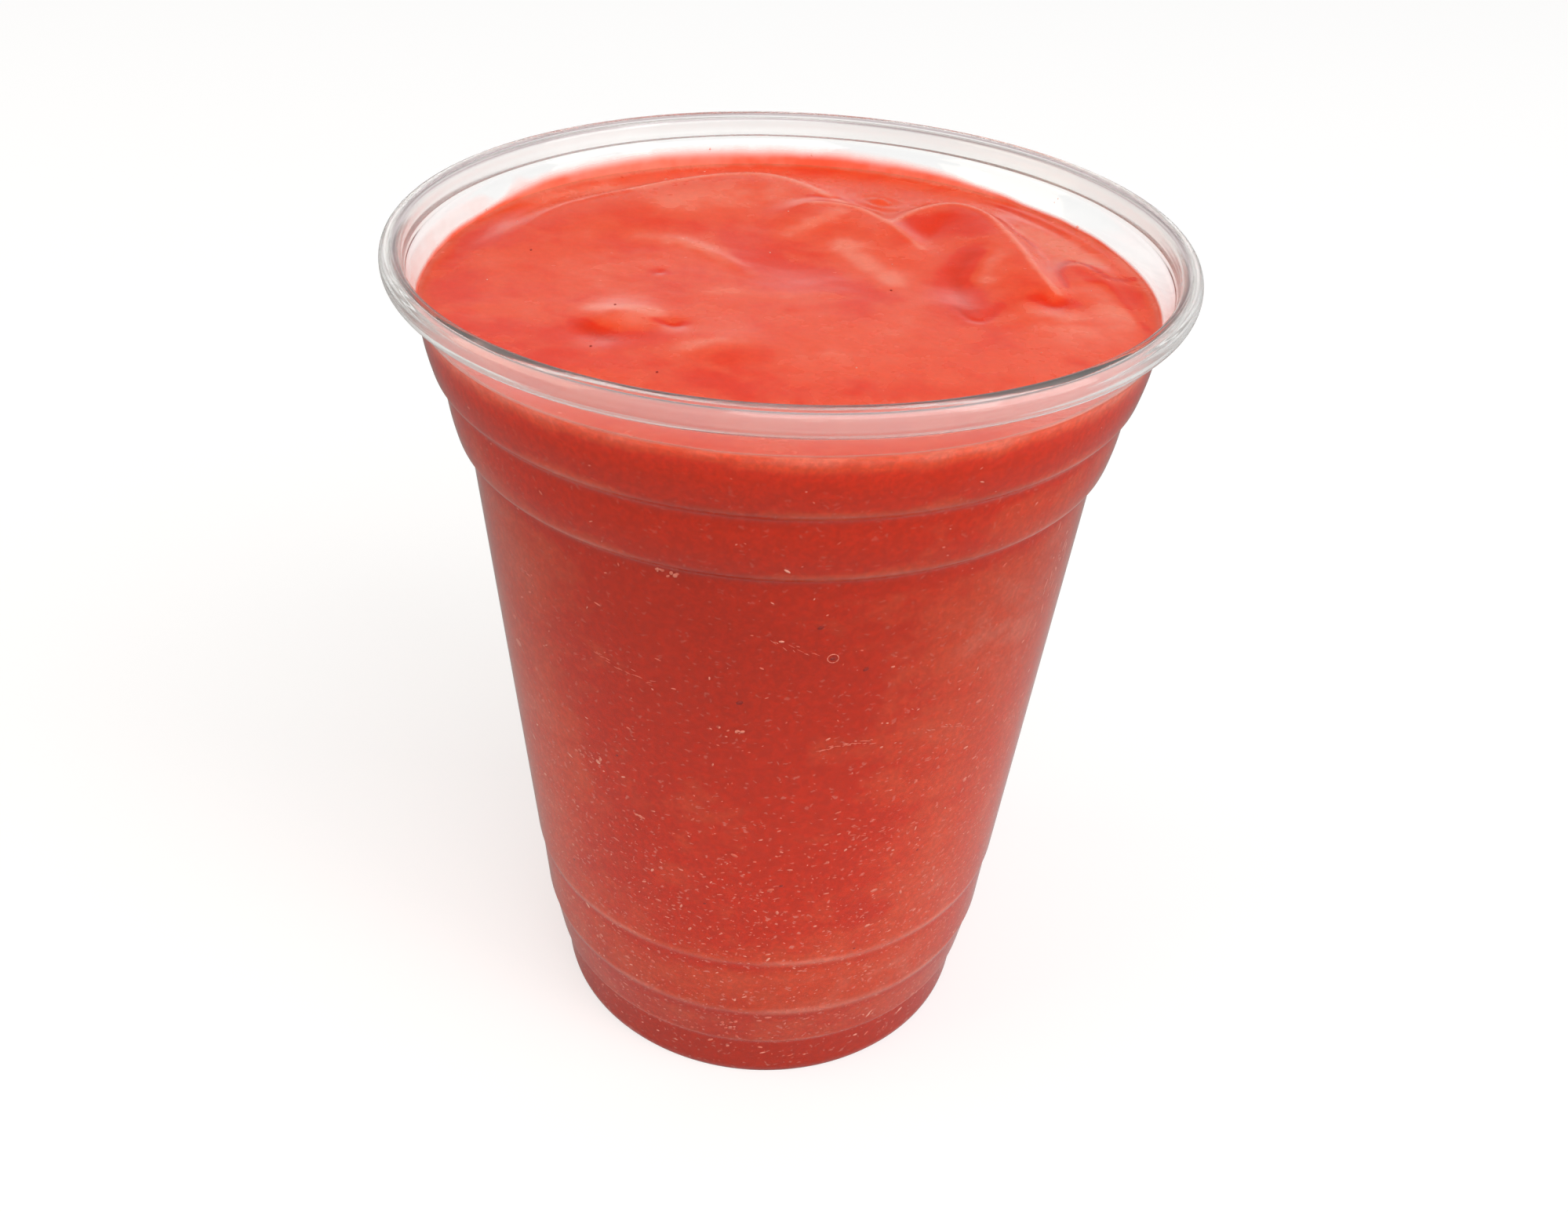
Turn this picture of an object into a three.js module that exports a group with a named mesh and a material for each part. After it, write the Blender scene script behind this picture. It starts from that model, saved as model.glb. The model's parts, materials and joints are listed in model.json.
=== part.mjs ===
// A fruit smoothie in a clear cold-drink cup. Millimetres, +Z up.
// The origin is the centre of the ring that the cup stands on.

import * as THREE from "three";

// Sizes of the cup. Radii are to its outer face.
const cupHeight = 120;
const rimRadius = 49;
const wall = 0.5;
const half = wall / 2;

// Its foot: a hollow ring round a floor that is pushed up
const footRadius = 31.7;
const footRound = 1.6;
const footRoundSteps = 3;
const standInner = 26.6;
const floorRadius = 22.5;
const floorRise = 3.6;
const floorDome = 0.3;
const floorRound = 1.2;

// The small lips low on the side, each with the wall's radius just under it and on it
const lips = [
  { height: 9.4, under: 32.05, on: 32.95 },
  { height: 17.7, under: 34.1, on: 34.45 },
  { height: 29, under: 35.15, on: 35.5 },
];
const lipDrop = 1;

// The two shoulders near the rim: the radius under and over the ledge, and at the top of the band
const shoulders = [
  { height: 95.4, under: 40.6, over: 41.95, top: 42.95, bandTop: 102.4 },
  { height: 104.5, under: 43.1, over: 44.2, top: 45.25, bandTop: 111.5 },
];
const ledgeRise = 0.9;
const bulge = 0.35;

// The rolled rim: the wall turned outwards and down into a bead, whose edge stays clear of the neck
const neckRadius = 46.6;
const neckHeight = 116.4;
const beadWidth = 2.6;
const beadHeight = 3.6;
const beadTurn = 1.6 * Math.PI;
const beadSteps = 9;

// The drink: how high it stands at the wall, and its distance from the sheet
const fillLevel = 112.8;
const gap = 0.3;

// The folds that the pour left in the thick surface. A crest runs from left to right as seen from the
// front. It falls off steeply behind and gently before it.
const folds = [
  {
    crest: [[-37, 10], [-31, 21], [-22, 28], [-13, 34], [-5, 36.5], [1, 34], [7, 28]],
    rise: 1.5,
    behind: 3,
    before: 13,
  },
  { crest: [[-1.5, 23], [2.5, 26], [8, 25], [12, 21], [17, 12.5]], rise: 1.2, behind: 2.4, before: 9 },
  {
    crest: [[13, 20], [17, 25], [22, 27], [26, 23.5], [29, 14], [31, 5], [33, -3]],
    rise: 1.7,
    behind: 2.4,
    before: 8,
  },
  { crest: [[34, 0], [34, 6], [37, 9], [41, 5]], rise: 0.6, behind: 1.6, before: 5 },
];

// Round lumps and dips between the folds: where, how high or deep, and how wide
const swells = [
  { at: [-19.5, -12], rise: 0.5, reach: 3.6 },
  { at: [-21.5, -17.5], rise: -0.3, reach: 2.6 },
  { at: [-13, -14], rise: -0.15, reach: 1.6 },
  { at: [-7, -19], rise: 0.25, reach: 5 },
  { at: [1, 5], rise: -0.3, reach: 6 },
  { at: [12, 31], rise: 0.4, reach: 2.6 },
  { at: [21, 1], rise: -0.25, reach: 4 },
  { at: [32, -4], rise: -0.4, reach: 2.4 },
];
const calmEdge = 5;

// How finely the round shapes are drawn
const cupSegments = 48;
const drinkSegments = 96;
const surfaceRings = 17;
const crestSteps = 24;

// The middle of the cup's sheet, from the floor's centre out to the foot and up to the rolled edge.
// The plain line leaves out the lips, the bulges and the foot's rounding.
function sheetLine(plain) {
  const line = [];
  const put = (radius, height) => line.push(new THREE.Vector2(radius, height));
  put(0, floorRise + floorDome);
  put(floorRadius, floorRise);
  put(floorRadius + floorRound, floorRise - floorRound / 4);
  put(standInner - floorRound, floorRound);
  put(standInner, half);
  const roundSteps = plain ? 1 : footRoundSteps;
  for (let step = 0; step <= roundSteps; step++) {
    const angle = (step / roundSteps) * (Math.PI / 2);
    const radius = footRadius - half - footRound * (1 - Math.sin(angle));
    put(radius, half + footRound * (1 - Math.cos(angle)));
  }
  for (const lip of lips) {
    put(lip.under - half, lip.height - lipDrop);
    if (!plain) put(lip.on - half, lip.height);
  }
  for (const shoulder of shoulders) {
    const { height, under, over, top, bandTop } = shoulder;
    put(under - half, height);
    if (!plain) put(over - half - bulge, height + ledgeRise / 2);
    put(over - half, height + ledgeRise);
    if (!plain) put((over + top + bulge) / 2 - half, (height + ledgeRise + bandTop) / 2);
    put(top - half, bandTop);
  }
  put(neckRadius - half, neckHeight);
  return line;
}

// The bead's part of that middle line, an oval that starts at the neck and goes over the top
function beadLine() {
  const across = beadWidth / 2 - half;
  const up = beadHeight / 2 - half;
  const line = [];
  for (let step = 0; step <= beadSteps; step++) {
    const angle = Math.PI - (step / beadSteps) * beadTurn;
    const radius = rimRadius - half - across + across * Math.cos(angle);
    line.push(new THREE.Vector2(radius, cupHeight - half - up + up * Math.sin(angle)));
  }
  return line;
}

// The line moved sideways, to its left as it runs. On the cup that is towards the drink.
function movedLine(line, distance) {
  const last = line.length - 1;
  const run = (from, to) => line[to].clone().sub(line[from]).normalize();
  return line.map((point, index) => {
    const into = index > 0 ? run(index - 1, index) : run(0, 1);
    const onward = index < last ? run(index, index + 1) : into;
    const along = into.clone().add(onward).normalize();
    const reach = distance / along.dot(into);
    const radius = index > 0 ? point.x - along.y * reach : 0;
    return new THREE.Vector2(radius, point.y + along.x * reach);
  });
}

// A solid of revolution about +Z
function turned(outline, segments) {
  return new THREE.LatheGeometry(outline, segments).rotateX(Math.PI / 2);
}

function cupGeometry() {
  const line = [...sheetLine(false), ...beadLine()];
  const outerFace = movedLine(line, -half);
  const innerFace = movedLine(line, half).reverse();
  return turned([...outerFace, ...innerFace], cupSegments);
}

// How far a spot lies from a crest, on which side, and how far along the crest its nearest point is
function nearestOnCrest(crest, spot) {
  let nearest = { distance: Infinity };
  for (let index = 1; index < crest.length; index++) {
    const run = crest[index].clone().sub(crest[index - 1]);
    const away = spot.clone().sub(crest[index - 1]);
    const share = THREE.MathUtils.clamp(away.dot(run) / run.lengthSq(), 0, 1);
    away.addScaledVector(run, -share);
    if (away.length() < nearest.distance) {
      const along = (index - 1 + share) / (crest.length - 1);
      nearest = { distance: away.length(), isBehind: run.cross(away) > 0, along };
    }
  }
  return nearest;
}

// The surface's height over the fill level
const crestLines = folds.map((fold) => {
  const points = fold.crest.map(([x, y]) => new THREE.Vector2(x, y));
  return new THREE.SplineCurve(points).getPoints(crestSteps);
});

function relief(x, y, wallRadius) {
  const spot = new THREE.Vector2(x, y);
  const foldRises = folds.map((fold, index) => {
    const near = nearestOnCrest(crestLines[index], spot);
    const reach = near.isBehind ? fold.behind : fold.before;
    const fade = Math.sqrt(Math.sin(Math.PI * near.along));
    return fold.rise * fade * Math.exp(-((near.distance / reach) ** 2));
  });
  let height = Math.hypot(...foldRises);
  for (const swell of swells) {
    const distance = Math.hypot(x - swell.at[0], y - swell.at[1]);
    height += swell.rise * Math.exp(-((distance / swell.reach) ** 2));
  }
  const fromWall = wallRadius - spot.length();
  return height * THREE.MathUtils.smoothstep(fromWall, 0, calmEdge);
}

// The drink fills the cup to its level, and its surface is then lifted and lowered by the relief
function drinkGeometry() {
  const inner = movedLine(sheetLine(true), half + gap);
  const above = inner.findIndex((point) => point.y > fillLevel);
  const low = inner[above - 1];
  const high = inner[above];
  const share = (fillLevel - low.y) / (high.y - low.y);
  const wallRadius = THREE.MathUtils.lerp(low.x, high.x, share);
  const outline = inner.slice(0, above);
  for (let ring = 0; ring <= surfaceRings; ring++) {
    outline.push(new THREE.Vector2(wallRadius * (1 - ring / surfaceRings), fillLevel));
  }
  const geometry = turned(outline, drinkSegments);
  const places = geometry.getAttribute("position");
  for (let index = 0; index < places.count; index++) {
    if (places.getZ(index) < fillLevel - gap) continue;
    const lift = relief(places.getX(index), places.getY(index), wallRadius);
    places.setZ(index, fillLevel + lift);
  }
  return geometry;
}

const clearPlastic = new THREE.MeshStandardMaterial({
  color: 0xf0f3f2,
  roughness: 0.05,
  metalness: 0,
  transparent: true,
  opacity: 0.25,
  side: THREE.DoubleSide,
});

const coralDrink = new THREE.MeshStandardMaterial({
  color: 0xdd5540,
  roughness: 0.25,
  metalness: 0,
});

const cup = new THREE.Mesh(cupGeometry(), clearPlastic);
cup.name = "cup";

const smoothie = new THREE.Mesh(drinkGeometry(), coralDrink);
smoothie.name = "smoothie";

const filledCup = new THREE.Group();
filledCup.add(cup, smoothie);

export default filledCup;
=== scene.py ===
# %% [markdown]
# # A fruit smoothie in a clear cup
#
# The object is a cold drink: thick, coral-red blended fruit in a clear plastic cup with a rolled rim.
# Two things carry its look. The cup is a thin sheet that bends and mirrors the light, so it is modelled
# as a real sheet with two faces. The drink is opaque and wet. Its poured surface is full of soft folds,
# so those are modelled as well, and not only painted on.
#
# The lesson goes from the frame to the cup, the drink, the small things in it, the materials, the
# studio and last the camera. All lengths are in millimetres until they go into a mesh.

# %% Load the frame
import json
import math

import bpy
import numpy as np
from mathutils import Matrix, Vector

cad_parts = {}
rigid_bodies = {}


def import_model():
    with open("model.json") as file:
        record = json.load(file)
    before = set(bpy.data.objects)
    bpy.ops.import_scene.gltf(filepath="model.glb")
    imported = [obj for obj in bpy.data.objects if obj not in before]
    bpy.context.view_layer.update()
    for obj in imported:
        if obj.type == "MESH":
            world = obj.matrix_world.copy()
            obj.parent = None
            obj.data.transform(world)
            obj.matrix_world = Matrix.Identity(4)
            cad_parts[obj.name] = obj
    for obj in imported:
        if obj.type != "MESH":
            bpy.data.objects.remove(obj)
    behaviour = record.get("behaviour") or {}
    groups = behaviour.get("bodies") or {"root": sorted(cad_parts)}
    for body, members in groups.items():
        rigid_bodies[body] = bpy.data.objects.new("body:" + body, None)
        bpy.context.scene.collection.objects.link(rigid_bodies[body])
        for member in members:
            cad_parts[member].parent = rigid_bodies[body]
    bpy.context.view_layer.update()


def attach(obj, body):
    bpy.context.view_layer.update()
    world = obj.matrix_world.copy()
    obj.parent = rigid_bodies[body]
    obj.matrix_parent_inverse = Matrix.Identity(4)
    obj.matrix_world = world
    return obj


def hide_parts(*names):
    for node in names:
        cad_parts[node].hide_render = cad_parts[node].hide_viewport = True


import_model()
MM = 0.001

# %% [markdown]
# ## Helpers for meshes
#
# The cup and the drink are both round, so both are lathed: an outline of (radius, height) pairs is
# turned about the upright axis. A helper builds the rings of points with numpy, which is quick, and
# joins neighbouring rings with four-sided faces. Where the outline meets the axis, it closes with
# triangles.


# %% Mesh helpers
ON_AXIS = 1e-6


def add_mesh(name, points, faces):
    """A smooth-shaded mesh object from points in millimetres."""
    mesh = bpy.data.meshes.new(name)
    mesh.from_pydata((np.asarray(points) * MM).tolist(), [], faces)
    mesh.shade_smooth()
    piece = bpy.data.objects.new(name, mesh)
    bpy.context.scene.collection.objects.link(piece)
    return piece


def turned(outline, segments, finer=None):
    """Points and faces of an outline turned about +Z, from its first point to its last. Where finer
    is true for a point of the outline, its ring has twice as many points."""
    finer = [False] * len(outline) if finer is None else finer
    points, rings = [], []
    start = 0
    for (radius, height), fine in zip(outline, finer):
        if radius < ON_AXIS:
            points.append([(0.0, 0.0, height)])
            rings.append([start] * (segments + 1))
            start += 1
            continue
        count = segments * 2 if fine else segments
        turns = np.arange(count) * (2 * math.pi / count)
        ring = np.stack([radius * np.sin(turns), -radius * np.cos(turns), np.full(count, height)], axis=1)
        points.append(ring)
        rings.append(list(range(start, start + count)) + [start])
        start += count
    faces = []
    for low, high in zip(rings, rings[1:]):
        step_low, step_high = (len(low) - 1) // segments, (len(high) - 1) // segments
        if step_low == step_high:
            for k in range(len(low) - 1):
                faces.append(tuple(dict.fromkeys((low[k], low[k + 1], high[k + 1], high[k]))))
        else:
            for k in range(segments):
                below = low[k * step_low:(k + 1) * step_low + 1]
                over = high[k * step_high:(k + 1) * step_high + 1]
                faces.append(tuple(below + over[::-1]))
    return np.concatenate(points), faces


def bell(distance, reach):
    """1 at no distance, and falling to both sides."""
    return np.exp(-(distance / reach) ** 2)


def eased(value, low, high):
    """0 at low, 1 at high, smooth between, and level beyond them."""
    t = np.clip((value - low) / (high - low), 0, 1)
    return t * t * (3 - 2 * t)


def add_floats(piece, name, values):
    """Stores one number per point on the mesh, for its material to read."""
    layer = piece.data.attributes.new(name, "FLOAT", "POINT")
    layer.data.foreach_set("value", np.asarray(values, dtype=np.float32))


print("A bell falls to", round(float(bell(1, 1)), 2), "at its reach")

# %% [markdown]
# ## The cup's sheet
#
# A thermoformed cup is one sheet of plastic of even thickness. So its outline starts as one line, the
# middle of the sheet: the floor that is pushed up, the ring to stand on, three small lips, two shoulders
# with a slightly bulging band over each, and the neck. Each corner has a small rounding, because hot
# sheet never folds sharply, and those roundings make the thin bright lines round the cup.

# %% The middle line of the sheet
WALL = 0.5
HALF = WALL / 2
# The floor and the ring to stand on: radius, height and rounding of each corner
STAND_INNER = 26.6
FLOOR_CORNERS = [(0, 3.9, 0), (22.5, 3.6, 1.2), (23.7, 3.3, 0.6), (25.4, 1.2, 0.8),
                 (STAND_INNER, HALF, 0.6), (31.45, HALF, 1.9)]
# The lips: height, and the outer radius under the lip and on it
LIPS = [(9.4, 32.05, 32.95), (17.7, 34.1, 34.45), (29.0, 35.15, 35.5)]
LIP_DROP, UNDER_LIP, ON_LIP = 1, 0.5, 0.45
# The shoulders: height, outer radius under and over the ledge and at the band's top, height of that top
SHOULDERS = [(95.4, 40.6, 41.95, 42.95, 102.4), (104.5, 43.1, 44.2, 45.25, 111.5)]
LEDGE_RISE, BULGE = 0.9, 0.35
UNDER_LEDGE, OVER_LEDGE, MID_BAND, ON_BAND = 0.6, 0.9, 8, 2
NECK_HEIGHT = 116.4
NECK_CORNER = (46.35, NECK_HEIGHT, 2)


def sheet_corners():
    """Corners of the middle line as (radius, height, rounding)."""
    corners = list(FLOOR_CORNERS)
    for height, under, on in LIPS:
        corners += [(under - HALF, height - LIP_DROP, UNDER_LIP), (on - HALF, height, ON_LIP)]
    for height, under, over, top, band_top in SHOULDERS:
        corners.append((under - HALF, height, UNDER_LEDGE))
        corners.append((over - HALF, height + LEDGE_RISE, OVER_LEDGE))
        corners.append(((over + top + BULGE) / 2 - HALF, (height + LEDGE_RISE + band_top) / 2, MID_BAND))
        corners.append((top - HALF, band_top, ON_BAND))
    return corners + [NECK_CORNER]


print("The sheet turns", len(sheet_corners()), "corners")

# %% Rounded corners
CORNER_STEPS, HIDDEN_STEPS = 4, 2
SUPPORT = 0.35
# The share of a straight run that the rounding at one of its ends may take
ROOM_SHARE = 0.48


def rounded(corners, last, spacing):
    """The line through the corners, each eased over its rounding. A point close to either end of a
    straight run keeps the shading of the run flat."""
    line = [np.array(corners[0][:2], float)]

    def run_to(point):
        start = line[-1]
        gap = np.linalg.norm(point - start)
        shares = []
        if gap > 3 * SUPPORT:
            pieces = max(1, round(gap / spacing))
            shares = list(np.linspace(SUPPORT / gap, 1 - SUPPORT / gap, pieces + 1))
        line.extend(start + (point - start) * share for share in shares + [1])

    path = corners + [last]
    for before, corner, after in zip(path, path[1:], path[2:]):
        here = np.array(corner[:2], float)
        back, on = np.array(before[:2]) - here, np.array(after[:2]) - here
        room = ROOM_SHARE * min(np.linalg.norm(back), np.linalg.norm(on))
        reach = min(corner[2], room)
        first, final = here + back / np.linalg.norm(back) * reach, here + on / np.linalg.norm(on) * reach
        run_to(first)
        steps = HIDDEN_STEPS if here[0] < STAND_INNER else CORNER_STEPS
        for t in np.linspace(0, 1, steps + 1)[1:]:
            line.append(first * (1 - t) ** 2 + here * 2 * t * (1 - t) + final * t ** 2)
    return np.array(line)


# %% The bead and the whole line
RIM_RADIUS = 48.96
RIM_TOP = 119.8
BEAD_WIDTH, BEAD_HEIGHT = 2.6, 3.6
BEAD_TURN, BEAD_POINTS = 1.6 * math.pi, 33
CUP_SPACING = 9
bead_across, bead_up = BEAD_WIDTH / 2 - HALF, BEAD_HEIGHT / 2 - HALF
bead_turns = math.pi - np.linspace(0, BEAD_TURN, BEAD_POINTS)
bead_middle = (RIM_RADIUS - HALF - bead_across, RIM_TOP - HALF - bead_up)
bead_line = np.stack([bead_middle[0] + bead_across * np.cos(bead_turns),
                      bead_middle[1] + bead_up * np.sin(bead_turns)], axis=1)
wall_line = rounded(sheet_corners(), tuple(bead_line[0]) + (0,), CUP_SPACING)
sheet_line = np.concatenate([wall_line, bead_line])
print("The sheet's middle line has", len(sheet_line), "points")

# %% [markdown]
# ## Two faces and a rolled edge
#
# Moving the middle line half a wall's thickness to either side gives the outer and inner face. The
# outline runs up the outer face, round the bead, and back down the inner face to the axis, so the mesh
# is closed and a ray of light crosses two real faces. The bead is hollow, as on a real cup: it is the
# same sheet, rolled outwards and down. Round the bead it is a little thicker on its outer side, and it
# thins to a rounded cut edge.


# %% A line moved sideways
def moved(line, distance):
    """The line moved sideways, to its left as it runs. On the cup that is towards the drink."""
    runs = np.diff(line, axis=0)
    runs /= np.linalg.norm(runs, axis=1)[:, None]
    into = np.vstack([runs[:1], runs])
    onward = np.vstack([runs, runs[-1:]])
    along = into + onward
    along /= np.linalg.norm(along, axis=1)[:, None]
    reach = distance / np.maximum((along * into).sum(1), 0.5)
    shifted = line + np.stack([-along[:, 1], along[:, 0]], axis=1) * reach[:, None]
    shifted[:, 0] = np.maximum(shifted[:, 0], 0)
    shifted[0, 0] = line[0, 0]
    return shifted


# %% The cup
BEAD_EXTRA = 0.32
THICKENS = (114.2, 116.6)
EDGE_HALF = 0.13
# The shares of the bead's line from which the sheet loses its extra and thins towards the cut edge
EXTRA_TO, THIN_FROM = 0.45, 0.55
EDGE_POINTS = 7
outside_half = np.full(len(sheet_line), HALF)
inside_half = np.full(len(sheet_line), HALF)
bead_share = np.linspace(0, 1, len(bead_line))
bead = slice(len(wall_line), None)
edge_thin = eased(bead_share, THIN_FROM, 1) * (HALF - EDGE_HALF)
outside_half += BEAD_EXTRA * eased(sheet_line[:, 1], *THICKENS)
outside_half[bead] -= BEAD_EXTRA * eased(bead_share, EXTRA_TO, 1) + edge_thin
inside_half[bead] -= edge_thin
outer_face = moved(sheet_line, -outside_half)
inner_face = moved(sheet_line, inside_half)
edge_middle = (outer_face[-1] + inner_face[-1]) / 2
edge_on = sheet_line[-1] - sheet_line[-2]
edge_on /= np.linalg.norm(edge_on)
edge_side = outer_face[-1] - edge_middle
edge_round = [edge_middle + edge_side * math.cos(a) + edge_on * EDGE_HALF * math.sin(a)
              for a in np.linspace(0, math.pi, EDGE_POINTS)[1:-1]]
cup_outline = np.concatenate([outer_face, edge_round, inner_face[::-1]])
CUP_SEGMENTS = 248
FINE_FROM = 115.9
cup_points, cup_faces = turned(cup_outline, CUP_SEGMENTS, cup_outline[:, 1] > FINE_FROM)
cup = add_mesh("cup_shell", cup_points, cup_faces)
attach(cup, "root")
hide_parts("cup")
print("cup_shell:", len(cup_faces), "faces, height", round(cup_points[:, 2].max(), 2), "mm")

# %% [markdown]
# ## The painted dark ring on the rim
#
# The bead bends the light, and that draws a dark line on top of it, towards the drink. Here the line is
# painted shade: a ring on top of the bead, towards the drink, and broader at the front. A number per point
# says how dark, so the plastic's material can read it. The rolled edge also has a finish of its own, so
# its faces get the second material.

# %% The painted dark ring and the edge's faces
# Angles round the bead, in degrees: where the ring lies and its reach. Then its span at the front
SIDE_RING, FRONT_RING, FRONT_SPAN = (118, 9), (97, 23), 55
face_heights = np.array([cup_points[list(face), 2].mean() for face in cup_faces])
cup.data.polygons.foreach_set("material_index", (face_heights > NECK_HEIGHT).astype(np.int32))
from_front = np.degrees(np.arctan2(cup_points[:, 0], -cup_points[:, 1]))
ring_turn, ring_reach = (side + (front - side) * bell(from_front, FRONT_SPAN)
                         for side, front in zip(SIDE_RING, FRONT_RING))
outwards_on_bead = (np.hypot(cup_points[:, 0], cup_points[:, 1]) - bead_middle[0]) / bead_across
turn_on_bead = np.degrees(np.arctan2((cup_points[:, 2] - bead_middle[1]) / bead_up, outwards_on_bead))
add_floats(cup, "bend", bell(turn_on_bead - ring_turn, ring_reach) * (cup_points[:, 2] > NECK_HEIGHT))
print("Faces of the rolled edge:", int((face_heights > NECK_HEIGHT).sum()))

# %% [markdown]
# ## The drink's surface: folds
#
# The drink was poured thick, so its surface kept folds. Each fold is a crest line, drawn from above as a
# smooth curve through a few points. Behind the crest the surface drops steeply, before it gently. So
# bells stand along the crest, narrow behind it and wide before it, and the tallest at a spot gives its
# height. A narrow ridge or furrow is simpler: one bell of the spot's distance to its line. Two helpers
# draw the curve and find that distance.


# %% Distance to a curve
def curve_through(points, steps=12):
    """A smooth line through the points: Catmull-Rom, which passes through each of them."""
    knots = np.array(points, float)
    knots = np.vstack([2 * knots[0] - knots[1], knots, 2 * knots[-1] - knots[-2]])
    line = []
    for a, b, c, d in zip(knots, knots[1:], knots[2:], knots[3:]):
        for t in np.linspace(0, 1, steps, endpoint=False):
            ease = (2 * b, c - a, 2 * a - 5 * b + 4 * c - d, 3 * b - a - 3 * c + d)
            line.append(0.5 * sum(part * t ** power for power, part in enumerate(ease)))
    line.append(knots[-2])
    return np.array(line)


def near_curve(line, x, y):
    """For each spot: its distance to the line, and how far along its nearest point is, 0 to 1."""
    best = np.full(x.shape, np.inf)
    along = np.zeros(x.shape)
    for k, (start, end) in enumerate(zip(line, line[1:])):
        run = end - start
        dx, dy = x - start[0], y - start[1]
        share = np.clip((dx * run[0] + dy * run[1]) / (run @ run), 0, 1)
        away = np.hypot(dx - share * run[0], dy - share * run[1])
        nearer = away < best
        best[nearer] = away[nearer]
        along[nearer] = ((k + share) / (len(line) - 1))[nearer]
    return best, along


print("A curve through 3 points has", len(curve_through([(0, 0), (1, 1), (2, 0)])), "points")

# %% [markdown]
# The folds themselves. Each one has its crest, how high it rises, and how far it reaches behind and
# before the crest. A fine lip, a tenth of a millimetre high, runs along most crests: on the wet surface
# it catches the light as the thin bright line that those folds show.

# %% The folds
FOLDS = [
    dict(crest=[(-37, 10), (-31, 21), (-22, 28), (-13, 34), (-5, 36.5), (1, 34), (7, 28)],
         rise=1.5, behind=3, before=13, lip=0.12),
    dict(crest=[(-1.5, 23), (2.5, 26), (8, 25), (12, 21), (17, 12.5)],
         rise=1.2, behind=2.4, before=9, lip=0.1),
    dict(crest=[(13, 20), (17, 25), (22, 27), (26, 23.5), (29, 14), (31, 5), (33, -3)],
         rise=1.7, behind=2.4, before=8, lip=0.12),
    dict(crest=[(34, 0), (34, 6), (37, 9), (41, 5)], rise=0.6, behind=1.6, before=5, lip=0.0),
]
LIP_REACH = 0.45
CREST_STEPS = 8
ALMOST_ZERO = 1e-6


def fold_height(fold, x, y):
    """The tallest of the bells that stand along the crest, and the fine lip on it."""
    line = curve_through(fold["crest"], CREST_STEPS)
    runs = np.gradient(line, axis=0)
    runs /= np.linalg.norm(runs, axis=1)[:, None]
    fades = np.sqrt(np.sin(math.pi * np.linspace(0, 1, len(line))))
    height = np.zeros(x.shape)
    for (at_x, at_y), run, fade in zip(line, runs, fades):
        dx, dy = x - at_x, y - at_y
        away = np.hypot(dx, dy) + ALMOST_ZERO
        behind = eased((run[0] * dy - run[1] * dx) / away, -1, 1)
        reach = fold["before"] + (fold["behind"] - fold["before"]) * behind
        height = np.maximum(height, fade * bell(away, reach))
    away, along = near_curve(line, x, y)
    return fold["rise"] * height, fold["lip"] * np.sin(math.pi * along) * bell(away, LIP_REACH)


print("Folds:", len(FOLDS), " highest:", max(fold["rise"] for fold in FOLDS), "mm")

# %% [markdown]
# Between the folds lie round lumps and dips, and narrow ridges and furrows where one layer of the pour
# slid over another. A drop left an oval ripple, the steep back of the long fold is finely wrinkled, and
# the pulp makes all of it slightly uneven. Each of these is a small function of the place, so they can
# simply be added up.

# %% Lumps, dips and fine lines
# Round lumps and dips: x, y, rise, reach
SWELLS = [
    (-19.5, -12, 0.5, 3.6), (-21.5, -17.5, -0.3, 2.6), (-13, -14, -0.15, 1.6), (-7, -19, 0.25, 5.0),
    (1, 5, -0.3, 6.0), (12, 31, 0.4, 2.6), (21, 1, -0.25, 4.0), (32, -4, -0.4, 2.4),
]

# Narrow ridges (+) and furrows (-): points, rise, reach
LINES = [
    ([(23.6, 11), (21, 5), (21, -2), (22, -6)], -0.14, 1.6),
    ([(20, -5), (21.7, -9), (23.6, -8.8), (25.6, -4.6)], -0.08, 0.5),
    ([(34.3, 1.6), (34.1, 6.7), (36.3, 11.4), (39.2, 7.3), (40.9, 5.4), (43.7, 6.3)], -0.1, 0.4),
    ([(35, 2.5), (37.5, 4.3), (39.8, 3.8), (41, -1.4), (42.4, -9.4)], 0.08, 0.7),
    ([(28.5, 21.8), (30.5, 19.2), (32.1, 15.5)], -0.16, 0.4),
    ([(2, 29.5), (8, 30)], -0.15, 0.4),
    ([(-19, 12.6), (-15, 12.4), (-11, 9.4), (-6.7, 4.6), (-4.9, 0.8)], 0.14, 1.4),
    ([(-1, 17), (2.5, 20.5), (5.5, 24)], 0.1, 1.2),
    ([(-16.8, 1.6), (-15.6, 1.4)], -0.1, 0.8),
    ([(-15.4, -13.2), (-13.2, -14.4), (-12.2, -13.7)], -0.1, 0.5),
    ([(30.4, -3.1), (32.1, -3.8), (34, -2.6)], -0.12, 0.8),
]

# The ripple: its middle, the turn of its long axis, its stretch, rise, waves per millimetre and reach
RIPPLE_AT, RIPPLE_TURN, RIPPLE_STRETCH = (12, 30.4), math.radians(-32), 1.75
RIPPLE_RISE, RIPPLE_WAVES, RIPPLE_REACH = 0.16, 2.6, 2.6
# The wrinkles: the middle of their patch and its reach, their direction, how close they are, their rise
CRINKLE_AT, CRINKLE_REACH = (-31, 29), (5, 4.5)
CRINKLE_WAY, CRINKLE_WAVES, CRINKLE_RISE = (0.97, 0.24), 9, 0.11
print("Lumps and dips:", len(SWELLS), " ridges and furrows:", len(LINES))


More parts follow.
